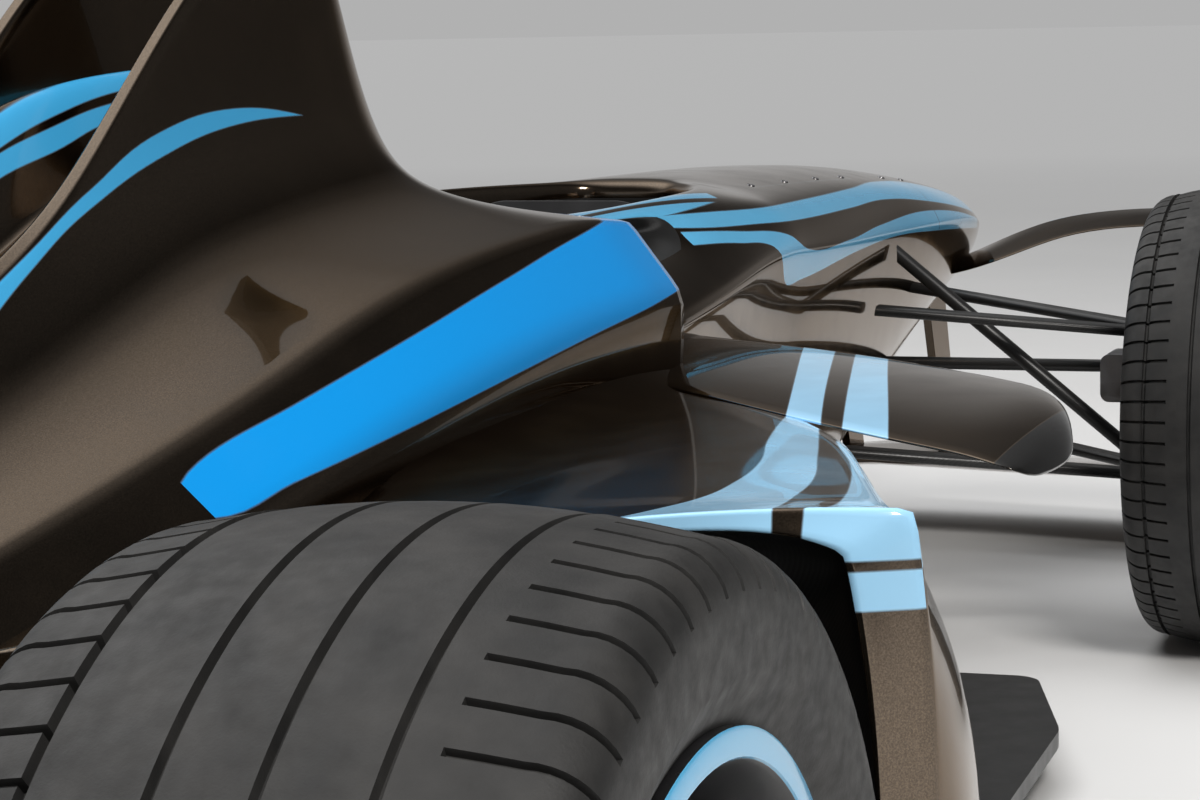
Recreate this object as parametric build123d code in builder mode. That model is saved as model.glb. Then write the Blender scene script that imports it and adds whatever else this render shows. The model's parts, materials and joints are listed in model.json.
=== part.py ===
from build123d import *
from math import cos, radians, sin
import os

os.makedirs("parts", exist_ok=True)

# An open wheel single seat racing car. X runs forward, Y to the left and Z up.
# The origin is on the ground, in the middle of the overall length and width.

# Driving sizes, in millimetres
overall_length = 5000
wheelbase = 3100
rear_overhang = 870
rear_axle_x = rear_overhang - overall_length / 2
front_axle_x = rear_axle_x + wheelbase
nose_tip_x = overall_length / 2
tail_x = -overall_length / 2
touch_gap = 0.3

# Floor and diffuser
floor_bottom_z = 45
floor_thickness = 20
floor_top_z = floor_bottom_z + floor_thickness
floor_front_x = front_axle_x - 590
floor_rear_x = rear_axle_x - 350
floor_corner = 160
diffuser_rise = 180
diffuser_half_width = 500
diffuser_rear_x = rear_axle_x - 820

# Wheels
front_tyre_radius = 320
front_tyre_width = 250
front_wheel_y = 715
rear_tyre_radius = 340
rear_tyre_width = 300
rear_wheel_y = 750
tyre_shoulder = 30
crown_drop = 12
tread_flat = 0.3
rim_seat_radius = 228.6
rim_flange_radius = 240
rim_flange = 8
rim_inset = 15
rim_wall = 9
spoke_count = 10
spoke_width = 26
spoke_depth = 30
spoke_face = 90
hub_radius = 62
nut_radius = 28
nut_length = 25
stub_radius = 25
disc_radius = 139
disc_outer = 10
disc_inner = -18

# Uprights and steering
kingpin_offset = 55
upright_thickness = 44
upper_ball_height = 98
lower_ball_drop = 78
eye_height = 24
eye_radius = 17
pin_radius = 8
steering_arm = 110
arm_height = 32
arm_thickness = 14
rod_radius = 9
rod_clearance = 0.6
duct_length = 80
duct_height = 66
duct_reach = 105
duct_mouth = 60

# Tub and cockpit
tub_rear_x = rear_axle_x + 1560
bulkhead_x = front_axle_x + 300
nose_length = nose_tip_x - bulkhead_x
cockpit_rear_x = rear_axle_x + 1650
cockpit_length = 860
cockpit_rear_half = 250
cockpit_front_half = 165
footwell_floor_z = 105
footwell_floor_rise = 30
footwell_front_x = front_axle_x + 40
seat_wall = 22

# Fairing behind the driver's head
hoop_wall = 12
hoop_rear = 850
hoop_length = 750
hoop_top_z = 1010
hoop_base_half = 92
hoop_top_half = 66
camera_top_z = 1050

# Wings
front_wing_half = 880
front_wing_chord = 330
front_wing_z = 110
upper_plane_chord = 200
endplate_thickness = 12
rear_wing_half = 520
rear_wing_z = 930
rear_endplate_top = 985
rear_endplate_bottom = 430
endplate_depth = 230

# Masses low in the car
battery_length = 650
battery_half_width = 270
battery_height = 430
battery_rear_x = rear_axle_x + 860
gearbox_half_width = 115
gearbox_bottom_z = 170
gearbox_top_z = 430
gearbox_rear_x = rear_axle_x - 520
output_radius = 45

# Engine cover: half sections from the spine down to the floor.
# ahead of rear axle, spine y z, ridge y z, flank y z, crest y z, band y z, side y, bottom z
cover_rows = [
    (-330, 22, 455, 60, 430, 84, 385, 118, 362, 140, 318, 130, 210),
    (300, 22, 605, 80, 572, 112, 545, 180, 522, 245, 455, 235, floor_bottom_z),
    (760, 24, 760, 72, 728, 125, 665, 252, 605, 315, 548, 305, floor_bottom_z),
    (1080, 26, 838, 84, 775, 128, 712, 288, 678, 352, 603, 340, floor_bottom_z),
    (1400, 26, 850, 92, 775, 138, 726, 312, 708, 374, 626, 356, floor_bottom_z),
    (1580, 26, 830, 92, 775, 138, 726, 326, 704, 380, 622, 360, floor_bottom_z),
]
cover_rounding = (12, 18, 25, 22, 30, 15)

# Tub: half sections, half widths and heights of the shoulder, side and keel.
# station x, top z, shoulder y, shoulder z, side y, side z, keel y, keel z
tub_rows = [
    (tub_rear_x, 690, 285, 655, 330, 520, 300, floor_bottom_z),
    (front_axle_x - 900, 690, 262, 660, 305, 540, 255, floor_bottom_z),
    (front_axle_x - 400, 688, 225, 660, 262, 560, 205, 150),
    (front_axle_x, 672, 190, 645, 232, 550, 165, 255),
    (bulkhead_x, 650, 160, 625, 200, 545, 125, 325),
]
nose_rows = [
    (bulkhead_x, 650, 160, 625, 200, 545, 125, 325),
    (bulkhead_x + 0.44 * nose_length, 600, 130, 580, 168, 515, 110, 400),
    (bulkhead_x + 0.80 * nose_length, 545, 78, 530, 115, 490, 75, 430),
    (bulkhead_x + 0.93 * nose_length, 510, 38, 503, 68, 478, 38, 448),
]
tub_rounding = (70, 60, 45)

pod_half_width = 885

# Sidepod: sections from the inner top edge round to the inner bottom edge.
# ahead of rear axle, inner y z, valley y z, crest y z, bulge y z, foot y, root y
pod_rows = [
    (430, 250, 500, 400, 425, 838, 612, pod_half_width, 465, 868, 180),
    (900, 300, 545, 450, 480, 738, 572, 815, 420, 785, 200),
    (1250, 320, 575, 455, 520, 602, 556, 672, 420, 645, 220),
    (1620, 330, 600, 430, 556, 500, 545, 532, 420, 505, 240),
]
pod_rounding = (5, 60, 40, 60, 10, 5)
arch_radius = 470
arch_inner_y = 580
fairing_wall = 35
inlet_half_height = 90


def half_outline(points):
    """Close a half section with its mirror image across the centre plane."""
    return points + [(-y, z) for y, z in reversed(points)]


def section(x, points, radii):
    """Draw one rounded section across the car at station x."""
    with BuildSketch(Plane.YZ.offset(x)) as sketch:
        with BuildLine():
            FilletPolyline(*points, radius=radii, close=True)
        make_face()
    return sketch.sketch


def shell_section(row, rounding):
    """Section of the tub or nose: top, shoulder, side and keel."""
    x, top_z, shoulder_y, shoulder_z, side_y, side_z, keel_y, keel_z = row
    half = [(shoulder_y, shoulder_z), (side_y, side_z), (keel_y, keel_z)]
    scale = min(1, side_y / 200)
    radii = [scale * value for value in rounding]
    points = [(0, top_z)] + half + [(-y, z) for y, z in reversed(half)]
    return section(x, points, [radii[0]] + radii + radii[::-1])


def arm(start, end, width, depth):
    """Flat streamlined arm from one point to another."""
    run = Vector(*end) - Vector(*start)
    across = Vector(1, 0, 0) if abs(run.X) < abs(run.Y) else Vector(0, 1, 0)
    along = across - run.normalized() * across.dot(run.normalized())
    with BuildPart() as solid:
        with BuildSketch(Plane(origin=start, x_dir=along, z_dir=run)):
            SlotOverall(width, depth)
        extrude(amount=run.length)
    return solid.part


# Outer forms that the neighbours are trimmed to
with BuildPart() as cover_form:
    sections = []
    for ahead, sy, sz, ry, rz, fy, fz, cy, cz, by, bz, side_y, low_z in cover_rows:
        half = [(sy, sz), (ry, rz), (fy, fz), (cy, cz), (by, bz), (side_y, low_z)]
        radii = list(cover_rounding + cover_rounding[::-1])
        sections.append(section(rear_axle_x + ahead, half_outline(half), radii))
    loft(sections)
    split(bisect_by=Plane.XY.offset(floor_top_z))

with BuildPart() as tub_form:
    loft([shell_section(row, tub_rounding) for row in tub_rows])
    split(bisect_by=Plane.XY.offset(floor_top_z))

with BuildPart() as nose_cone:
    loft([shell_section(row, tub_rounding) for row in nose_rows])
nose_cone.part.label = "nose_cone"
export_step(nose_cone.part, "parts/nose_cone.step")

# Floor plate, widest under the sidepods and inside the rear tyres behind them
# half outline: x, y, corner radius
with BuildPart() as floor:
    with BuildSketch(Plane.XY.offset(floor_bottom_z)):
        with BuildLine():
            half = [
                (floor_front_x, 540, floor_corner / 4),
                (rear_axle_x + 2230, 622, floor_corner),
                (rear_axle_x + 1700, 640, floor_corner),
                (rear_axle_x + 1200, 710, floor_corner),
                (rear_axle_x + 860, 830, floor_corner),
                (rear_axle_x + 430, 870, 10),
                (rear_axle_x + 430, 575, 20),
                (floor_rear_x, 575, 20),
            ]
            whole = half + [(x, -y, radius) for x, y, radius in reversed(half)]
            corners = [(x, y) for x, y, radius in whole]
            FilletPolyline(*corners, radius=[radius for x, y, radius in whole], close=True)
        make_face()
    extrude(amount=floor_thickness)
floor.part.label = "floor"
export_step(floor.part, "parts/floor.step")

# Diffuser: a rising tray with four fences under it
with BuildPart() as diffuser:
    with BuildSketch(Plane.XZ) as tray:
        with BuildLine():
            Polyline(
                (floor_rear_x, floor_bottom_z),
                (floor_rear_x, floor_top_z),
                (diffuser_rear_x, floor_top_z + diffuser_rise),
                (diffuser_rear_x, floor_bottom_z + diffuser_rise),
                close=True,
            )
        make_face()
    extrude(amount=diffuser_half_width, both=True)
    fence_thickness = 10
    for fence_y in (-diffuser_half_width + 5, -170, 170, diffuser_half_width - 5):
        with BuildSketch(Plane.XZ.offset(-fence_y)):
            with BuildLine():
                Polyline(
                    (floor_rear_x, floor_bottom_z),
                    (diffuser_rear_x, floor_bottom_z + diffuser_rise),
                    (diffuser_rear_x, floor_bottom_z + 40),
                    close=True,
                )
            make_face()
        extrude(amount=fence_thickness / 2, both=True)
diffuser.part.label = "diffuser"
export_step(diffuser.part, "parts/diffuser.step")

# Battery behind the driver, one plain block on the floor
with BuildPart() as battery_block:
    with BuildSketch(Plane.XY.offset(floor_top_z)):
        with Locations((battery_rear_x + battery_length / 2, 0)):
            RectangleRounded(battery_length, 2 * battery_half_width, 20)
    extrude(amount=battery_height)
battery_block.part.label = "battery_block"
export_step(battery_block.part, "parts/battery_block.step")

# Motor and gearbox casing, tapered towards the tail
with BuildPart() as gearbox:
    with BuildSketch(Plane.YZ.offset(battery_rear_x)):
        with Locations((0, (gearbox_bottom_z + gearbox_top_z) / 2 - 20)):
            RectangleRounded(2 * gearbox_half_width, gearbox_top_z - gearbox_bottom_z + 40, 30)
    with BuildSketch(Plane.YZ.offset(gearbox_rear_x)):
        with Locations((0, (gearbox_bottom_z + gearbox_top_z) / 2)):
            RectangleRounded(2 * gearbox_half_width - 60, gearbox_top_z - gearbox_bottom_z - 60, 30)
    loft()
    with BuildSketch(Plane.XZ):
        with Locations((rear_axle_x, rear_tyre_radius)):
            Circle(output_radius)
    extrude(amount=gearbox_half_width + 8, both=True)
gearbox.part.label = "gearbox"
export_step(gearbox.part, "parts/gearbox.step")

# Tub: the form, less the cockpit, the footwell and the rack's bore
rack_z = front_tyre_radius + arm_height + arm_thickness + touch_gap + 8
rack_x = front_axle_x + steering_arm
with BuildPart() as monocoque:
    add(tub_form.part)
    for cut_x, half_width, low_z, high_z in (
        (cockpit_rear_x, cockpit_rear_half, footwell_floor_z, 640),
        (cockpit_rear_x + cockpit_length, 205, footwell_floor_z + footwell_floor_rise, 630),
        (footwell_front_x, 150, 300, 600),
    ):
        with BuildSketch(Plane.YZ.offset(cut_x)):
            with Locations((0, (low_z + high_z) / 2)):
                RectangleRounded(2 * half_width, high_z - low_z, 50)
    loft(ruled=True, mode=Mode.SUBTRACT)
    with BuildSketch(Plane.XY.offset(400)):
        with BuildLine():
            front_x = cockpit_rear_x + cockpit_length
            FilletPolyline(
                (cockpit_rear_x, cockpit_rear_half),
                (cockpit_rear_x + 520, cockpit_rear_half - 20),
                (front_x, cockpit_front_half),
                (front_x, -cockpit_front_half),
                (cockpit_rear_x + 520, -cockpit_rear_half + 20),
                (cockpit_rear_x, -cockpit_rear_half),
                radius=[30, 150, 90, 90, 150, 30],
                close=True,
            )
        make_face()
    extrude(amount=400, mode=Mode.SUBTRACT)
    with BuildSketch(Plane.XZ):
        with Locations((rack_x, rack_z)):
            Circle(rod_radius + rod_clearance)
    extrude(amount=400, both=True, mode=Mode.SUBTRACT)
monocoque.part.label = "monocoque"
export_step(monocoque.part, "parts/monocoque.step")

# Engine cover, closed over the battery and the casing
with BuildPart() as engine_cover:
    add(cover_form.part)
    add(tub_form.part, mode=Mode.SUBTRACT)
    add(battery_block.part, mode=Mode.SUBTRACT)
    add(gearbox.part, mode=Mode.SUBTRACT)
    with BuildSketch(Plane.XZ):
        with Locations((rear_axle_x, rear_tyre_radius)):
            Circle(output_radius)
    extrude(amount=400, both=True, mode=Mode.SUBTRACT)
engine_cover.part.label = "engine_cover"
export_step(engine_cover.part, "parts/engine_cover.step")

# Fairing over the roll hoop: two side walls and a roof, open in front and behind
# side view: ahead of the rear axle, z, from the front foot over the roof to the rear foot
hoop_profile = [
    (1535, 700),
    (1500, 795),
    (1475, 865),
    (1420, hoop_top_z),
    (1250, hoop_top_z),
    (1119, 921),
    (1035, 864),
    (944, 791),
    (900, 700),
]
with BuildPart() as hoop_fairing:
    with BuildSketch(Plane.XZ):
        with BuildLine():
            Polyline(*[(rear_axle_x + ahead, z) for ahead, z in hoop_profile], close=True)
        make_face()
    extrude(amount=2 * hoop_base_half, both=True)
    with BuildSketch(Plane.YZ.offset(rear_axle_x + hoop_rear)):
        with BuildLine():
            FilletPolyline(
                (hoop_base_half, 720),
                (hoop_top_half, hoop_top_z),
                (-hoop_top_half, hoop_top_z),
                (-hoop_base_half, 720),
                radius=[1, 35, 35, 1],
                close=True,
            )
        make_face()
    extrude(amount=hoop_length, mode=Mode.INTERSECT)
    with BuildSketch(Plane.YZ.offset(rear_axle_x + hoop_rear)):
        with BuildLine():
            FilletPolyline(
                (hoop_base_half - hoop_wall, 700),
                (hoop_top_half - hoop_wall, hoop_top_z - hoop_wall),
                (-hoop_top_half + hoop_wall, hoop_top_z - hoop_wall),
                (-hoop_base_half + hoop_wall, 700),
                radius=[1, 25, 25, 1],
                close=True,
            )
        make_face()
    extrude(amount=hoop_length, mode=Mode.SUBTRACT)
    add(cover_form.part, mode=Mode.SUBTRACT)
    add(tub_form.part, mode=Mode.SUBTRACT)
hoop_fairing.part.label = "hoop_fairing"
export_step(hoop_fairing.part, "parts/hoop_fairing.step")

# Camera pod on the fairing's roof: a stem and a streamlined cross bar
camera_x = rear_axle_x + 1350
camera_half_span = 110
camera_depth = 28
with BuildPart() as camera_pod:
    with BuildSketch(Plane.XY.offset(hoop_top_z)):
        with Locations((camera_x, 0)):
            SlotOverall(100, 40)
    extrude(amount=camera_top_z - hoop_top_z)
    with BuildSketch(Plane.XZ):
        with Locations((camera_x, camera_top_z - camera_depth / 2)):
            SlotOverall(120, camera_depth)
    extrude(amount=camera_half_span, both=True)
camera_pod.part.label = "camera_pod"
export_step(camera_pod.part, "parts/camera_pod.step")

# Sidepods: flared bodies that curl round ahead of the rear tyres
for side, name in ((1, "left"), (-1, "right")):
    with BuildPart() as sidepod:
        sections = []
        for ahead, ay, az, vy, vz, cy, cz, by, bz, foot_y, root_y in pod_rows:
            outline = [(ay, az), (vy, vz), (cy, cz), (by, bz), (foot_y, floor_bottom_z), (root_y, floor_bottom_z)]
            outline = [(side * y, z) for y, z in outline]
            sections.append(section(rear_axle_x + ahead, outline, list(pod_rounding)))
        loft(sections)
        split(bisect_by=Plane.XY.offset(floor_top_z))
        with BuildSketch(Plane.XZ.offset(-side * arch_inner_y)):
            with Locations((rear_axle_x, rear_tyre_radius)):
                Circle(arch_radius)
        arch_depth = pod_half_width - fairing_wall - arch_inner_y
        extrude(amount=-side * arch_depth, mode=Mode.SUBTRACT)
        inlet_x = rear_axle_x + pod_rows[-1][0]
        with BuildSketch(Plane.YZ.offset(inlet_x)):
            with Locations((side * 430, 440)):
                RectangleRounded(130, 2 * inlet_half_height, 30)
        extrude(amount=-150, mode=Mode.SUBTRACT)
        add(cover_form.part, mode=Mode.SUBTRACT)
        add(tub_form.part, mode=Mode.SUBTRACT)
        add(battery_block.part, mode=Mode.SUBTRACT)
    sidepod.part.label = "sidepod_" + name
    export_step(sidepod.part, f"parts/sidepod_{name}.step")
    if side > 0:
        left_pod = sidepod.part
    else:
        right_pod = sidepod.part

# Vanes ahead of the sidepods
vane_z = 540
vane_thickness = 20
with BuildPart() as sidepod_vanes:
    for side in (1, -1):
        with BuildSketch(Plane.XY.offset(vane_z)):
            with BuildLine():
                FilletPolyline(
                    (rear_axle_x + 1900, side * 290),
                    (rear_axle_x + 1535, side * 722),
                    (rear_axle_x + 1384, side * 782),
                    (rear_axle_x + 1120, side * 806),
                    (rear_axle_x + 1146, side * 700),
                    (rear_axle_x + 1510, side * 450),
                    (rear_axle_x + 1510, side * 290),
                    radius=[5, 60, 60, 20, 60, 40, 5],
                    close=True,
                )
            make_face()
        extrude(amount=vane_thickness)
    add(tub_form.part, mode=Mode.SUBTRACT)
    add(cover_form.part, mode=Mode.SUBTRACT)
    add(left_pod, mode=Mode.SUBTRACT)
    add(right_pod, mode=Mode.SUBTRACT)
sidepod_vanes.part.label = "sidepod_vanes"
export_step(sidepod_vanes.part, "parts/sidepod_vanes.step")

# Wheels, with their discs and hubs
corners = [
    ("front_left", front_axle_x, 1, front_wheel_y, front_tyre_radius, front_tyre_width),
    ("front_right", front_axle_x, -1, front_wheel_y, front_tyre_radius, front_tyre_width),
    ("rear_left", rear_axle_x, 1, rear_wheel_y, rear_tyre_radius, rear_tyre_width),
    ("rear_right", rear_axle_x, -1, rear_wheel_y, rear_tyre_radius, rear_tyre_width),
]
upright_outer = -kingpin_offset + upright_thickness / 2
upright_inner = -kingpin_offset - upright_thickness / 2
shaft_radius = 14
cv_radius = 38


def wheel_plane(axle_x, side, wheel_y, radius, out=0):
    """Plane on a wheel's axis: x points outboard and y up, so a section can be revolved."""
    return Plane(origin=(axle_x, side * (wheel_y + out), radius), x_dir=(0, side, 0), z_dir=(side, 0, 0))


def face_plane(axle_x, side, wheel_y, radius, out):
    """Plane across a wheel's axis, at a distance outboard of the wheel's middle; y is up."""
    return Plane(origin=(axle_x, side * (wheel_y + out), radius), x_dir=(-side, 0, 0), z_dir=(0, side, 0))


for name, axle_x, side, wheel_y, radius, width in corners:
    plane = wheel_plane(axle_x, side, wheel_y, radius)
    spin_axis = Axis((axle_x, 0, radius), (0, 1, 0))
    half = width / 2
    seat_half = half - rim_inset

    # Tyre: crowned tread, rounded shoulders and sidewalls that lean in to the beads
    with BuildPart() as tyre:
        with BuildSketch(plane):
            with BuildLine():
                crown_edge = (half - tyre_shoulder, radius - crown_drop)
                side_top = (half, radius - crown_drop - tyre_shoulder)
                round_inset = tyre_shoulder * (1 - sin(radians(45)))
                knuckle = (half - round_inset, radius - crown_drop - round_inset)
                bead = (seat_half, rim_flange_radius)
                seat = (seat_half, rim_seat_radius)
                profile = [(tread_flat * half, radius), crown_edge, knuckle, side_top, bead, seat]
                Polyline(*profile, *[(-out, reach) for out, reach in reversed(profile)], close=True)
            make_face()
        revolve(axis=spin_axis)
    tyre.part.label = "tyre_" + name
    export_step(tyre.part, f"parts/tyre_{name}.step")

    # Rim: flanged barrel, spokes and hub plate, with the wheel nut
    with BuildPart() as rim:
        with BuildSketch(plane):
            with BuildLine():
                Polyline(
                    (-seat_half - rim_flange, rim_flange_radius),
                    (-seat_half, rim_flange_radius),
                    (-seat_half, rim_seat_radius),
                    (seat_half, rim_seat_radius),
                    (seat_half, rim_flange_radius),
                    (seat_half + rim_flange, rim_flange_radius),
                    (seat_half + rim_flange, rim_seat_radius - rim_wall),
                    (-seat_half - rim_flange, rim_seat_radius - rim_wall),
                    close=True,
                )
            make_face()
        revolve(axis=spin_axis)
        with BuildSketch(face_plane(axle_x, side, wheel_y, radius, spoke_face - spoke_depth)):
            Circle(hub_radius)
            with PolarLocations(rim_seat_radius / 2, spoke_count):
                Rectangle(rim_seat_radius - rim_wall, spoke_width)
        extrude(amount=spoke_depth)
        with BuildSketch(face_plane(axle_x, side, wheel_y, radius, spoke_face)):
            RegularPolygon(nut_radius, 6)
        extrude(amount=nut_length)
    rim.part.label = "rim_" + name
    export_step(rim.part, f"parts/rim_{name}.step")

    # Disc and hub: the disc, its bell and the stub that runs in the upright
    with BuildPart() as disc:
        with BuildSketch(plane):
            with BuildLine():
                Polyline(
                    (spoke_face - spoke_depth, 0),
                    (spoke_face - spoke_depth, hub_radius - 10),
                    (disc_outer, hub_radius),
                    (disc_outer, disc_radius),
                    (disc_inner, disc_radius),
                    (disc_inner, hub_radius - 15),
                    (upright_outer + 5, hub_radius - 20),
                    (upright_outer + 5, stub_radius),
                    (upright_inner, stub_radius),
                    (upright_inner, 0),
                    close=True,
                )
            make_face()
        revolve(axis=spin_axis)
    disc.part.label = "disc_" + name
    export_step(disc.part, f"parts/disc_{name}.step")

# Driveshafts turn with the rear wheels, from the stub to the casing's side
shaft_inner_y = gearbox_half_width + 8 + touch_gap
for side, name in ((1, "left"), (-1, "right")):
    with BuildPart() as driveshaft:
        stub_end = rear_wheel_y + upright_inner
        for start_y, end_y, radius in (
            (stub_end, stub_end - 50, cv_radius),
            (stub_end - 50, shaft_inner_y + 50, shaft_radius),
            (shaft_inner_y + 50, shaft_inner_y, cv_radius),
        ):
            with BuildSketch(Plane.XZ.offset(-side * end_y)):
                with Locations((rear_axle_x, rear_tyre_radius)):
                    Circle(radius)
            extrude(amount=-side * (start_y - end_y))
    driveshaft.part.label = "driveshaft_" + name
    export_step(driveshaft.part, f"parts/driveshaft_{name}.step")


def upright_solid(axle_x, side, wheel_y, radius, caliper_side):
    """Upright with its ball pins, and the caliper over the disc; caliper_side is 1 ahead of the axle."""
    fore = -side * caliper_side
    with BuildPart() as solid:
        inner = face_plane(axle_x, side, wheel_y, radius, upright_inner)
        with BuildSketch(inner):
            with BuildLine():
                FilletPolyline(
                    (-24, upper_ball_height),
                    (24, upper_ball_height),
                    (52, 20),
                    (46, -40),
                    (24, -lower_ball_drop),
                    (-24, -lower_ball_drop),
                    (-46, -40),
                    (-52, 20),
                    radius=[8, 8, 30, 20, 8, 8, 20, 30],
                    close=True,
                )
            make_face()
            Circle(stub_radius + touch_gap, mode=Mode.SUBTRACT)
        extrude(amount=upright_thickness)
        for low_z in (radius + upper_ball_height, radius - lower_ball_drop - eye_height):
            with BuildSketch(Plane.XY.offset(low_z)):
                with Locations((axle_x, side * (wheel_y - kingpin_offset))):
                    Circle(pin_radius)
            extrude(amount=eye_height)
        with BuildSketch(face_plane(axle_x, side, wheel_y, radius, upright_inner)):
            with Locations((fore * 72, 0)):
                Rectangle(70, 60)
        extrude(amount=upright_thickness / 2)
        with BuildSketch(face_plane(axle_x, side, wheel_y, radius, upright_inner)):
            with BuildLine():
                span = radians(26)
                low_r = 98
                high_r = disc_radius + 22
                points = []
                for ray in (low_r, high_r):
                    for turn in (-span, 0, span):
                        points.append((fore * ray * cos(turn), ray * sin(turn)))
                ThreePointArc(points[0], points[1], points[2])
                Line(points[2], points[5])
                ThreePointArc(points[5], points[4], points[3])
                Line(points[3], points[0])
            make_face()
        extrude(amount=disc_outer + 24 - upright_inner)
        with BuildSketch(face_plane(axle_x, side, wheel_y, radius, disc_inner - 6)):
            Circle(disc_radius + 6)
        extrude(amount=disc_outer - disc_inner + 12, mode=Mode.SUBTRACT)
    return solid.part


# Front uprights carry the steering arm, ahead of the axle, and a brake duct behind it
for side, name in ((1, "left"), (-1, "right")):
    kingpin_y = side * (front_wheel_y - kingpin_offset)
    with BuildPart() as front_upright:
        add(upright_solid(front_axle_x, side, front_wheel_y, front_tyre_radius, -1))
        with BuildSketch(Plane.XY.offset(front_tyre_radius + arm_height)):
            with Locations((front_axle_x + steering_arm / 2, kingpin_y)):
                SlotOverall(steering_arm + 2 * eye_radius, 2 * eye_radius)
        extrude(amount=arm_thickness)
        duct_front_x = front_axle_x - stub_radius
        duct_inner_y = front_wheel_y + upright_inner - duct_reach
        duct_z = front_tyre_radius + 62
        with BuildSketch(Plane.YZ.offset(duct_front_x)):
            with Locations((side * (duct_inner_y + duct_reach / 2), duct_z)):
                RectangleRounded(duct_reach, duct_height, 12)
        extrude(amount=-duct_length)
        with BuildSketch(Plane.YZ.offset(duct_front_x)):
            with Locations((side * (duct_inner_y + duct_reach / 2), duct_z)):
                RectangleRounded(duct_reach - 12, duct_height - 12, 8)
        extrude(amount=-duct_mouth, mode=Mode.SUBTRACT)
    front_upright.part.label = "front_upright_" + name
    export_step(front_upright.part, f"parts/front_upright_{name}.step")

with BuildPart() as rear_uprights:
    for side in (1, -1):
        add(upright_solid(rear_axle_x, side, rear_wheel_y, rear_tyre_radius, 1))
rear_uprights.part.label = "rear_uprights"
export_step(rear_uprights.part, "parts/rear_uprights.step")

# Rack bar and track rods, one straight piece that slides across
with BuildPart() as track_rods:
    kingpin_y = front_wheel_y - kingpin_offset
    with BuildSketch(Plane.XZ):
        with Locations((rack_x, rack_z)):
            Circle(rod_radius)
    extrude(amount=kingpin_y - pin_radius, both=True)
    for side in (1, -1):
        with BuildSketch(Plane.XY.offset(rack_z - 8)):
            with Locations((rack_x, side * kingpin_y)):
                Circle(eye_radius - 3)
        extrude(amount=16)
    with BuildSketch(Plane.XY.offset(rack_z - 8 - rod_radius)):
        with Locations((rack_x, kingpin_y), (rack_x, -kingpin_y)):
            Rectangle(100, 100)
    extrude(amount=rod_radius, mode=Mode.SUBTRACT)
track_rods.part.label = "track_rods"
export_step(track_rods.part, "parts/track_rods.step")


def wishbone(ball, inner_points, width, depth):
    """Two legs from a ball joint's eye to the body."""
    with BuildPart() as solid:
        with BuildSketch(Plane.XY.offset(ball[2] - eye_height / 2)):
            with Locations((ball[0], ball[1])):
                Circle(eye_radius)
        extrude(amount=eye_height)
        for point in inner_points:
            add(arm(ball, point, width, depth))
        with BuildSketch(Plane.XY.offset(ball[2] - eye_height)):
            with Locations((ball[0], ball[1])):
                Circle(pin_radius + touch_gap)
        extrude(amount=2 * eye_height, mode=Mode.SUBTRACT)
    return solid.part


# Front wishbones; each leg is trimmed where it meets the tub
front_legs = [
    (front_tyre_radius + upper_ball_height + touch_gap + eye_height / 2, (-190, 120, 490), (210, 110, 490)),
    (front_tyre_radius - lower_ball_drop - touch_gap - eye_height / 2, (-280, 150, 300), (170, 120, 310)),
]
kingpin_y = front_wheel_y - kingpin_offset
with BuildPart() as front_wishbones:
    for side in (1, -1):
        for ball_z, rear_leg, front_leg in front_legs:
            ball = (front_axle_x, side * kingpin_y, ball_z)
            ends = [(front_axle_x + dx, side * y, z) for dx, y, z in (rear_leg, front_leg)]
            add(wishbone(ball, ends, 36, 14))
    add(tub_form.part, mode=Mode.SUBTRACT)
front_wishbones.part.label = "front_wishbones"
export_step(front_wishbones.part, "parts/front_wishbones.step")

# Rear wishbones, seated on the cover and the casing
rear_legs = [
    (rear_tyre_radius + upper_ball_height + touch_gap + eye_height / 2, (-190, 105, 372), (260, 140, 420)),
    (rear_tyre_radius - lower_ball_drop - touch_gap - eye_height / 2, (-190, 115, 240), (330, 150, 205)),
]
kingpin_y = rear_wheel_y - kingpin_offset
with BuildPart() as rear_wishbones:
    for side in (1, -1):
        for ball_z, rear_leg, front_leg in rear_legs:
            ball = (rear_axle_x, side * kingpin_y, ball_z)
            ends = [(rear_axle_x + dx, side * y, z) for dx, y, z in (rear_leg, front_leg)]
            add(wishbone(ball, ends, 40, 16))
    add(cover_form.part, mode=Mode.SUBTRACT)
    add(gearbox.part, mode=Mode.SUBTRACT)
    add(rear_uprights.part, mode=Mode.SUBTRACT)
rear_wishbones.part.label = "rear_wishbones"
export_step(rear_wishbones.part, "parts/rear_wishbones.step")

# Pushrods from the lower wishbones up to the body
with BuildPart() as pushrods:
    for side in (1, -1):
        low = (front_axle_x - 15, side * 570, 262)
        add(arm(low, (front_axle_x - 40, side * 120, 640), 26, 18))
        low = (rear_axle_x + 20, side * 600, 262)
        add(arm(low, (rear_axle_x + 60, side * 60, 560), 26, 18))
    add(tub_form.part, mode=Mode.SUBTRACT)
    add(cover_form.part, mode=Mode.SUBTRACT)
    add(front_wishbones.part, mode=Mode.SUBTRACT)
    add(rear_wishbones.part, mode=Mode.SUBTRACT)
pushrods.part.label = "pushrods"
export_step(pushrods.part, "parts/pushrods.step")


def wing_blade(y, lead_x, lead_z, chord, rise, camber, thickness):
    """One streamlined section of a wing at distance y along its span."""
    tail = (lead_x - chord, lead_z + rise)
    middle = (lead_x - 0.4 * chord, lead_z + 0.4 * rise - camber)
    with BuildSketch(Plane.XZ.offset(-y)) as blade:
        with BuildLine():
            ThreePointArc((lead_x, lead_z), (middle[0], middle[1] + thickness / 2), (tail[0], tail[1] + 2))
            Line((tail[0], tail[1] + 2), (tail[0], tail[1] - 2))
            ThreePointArc((tail[0], tail[1] - 2), (middle[0], middle[1] - thickness / 2), (lead_x, lead_z))
        make_face()
    return blade.sketch


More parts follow.
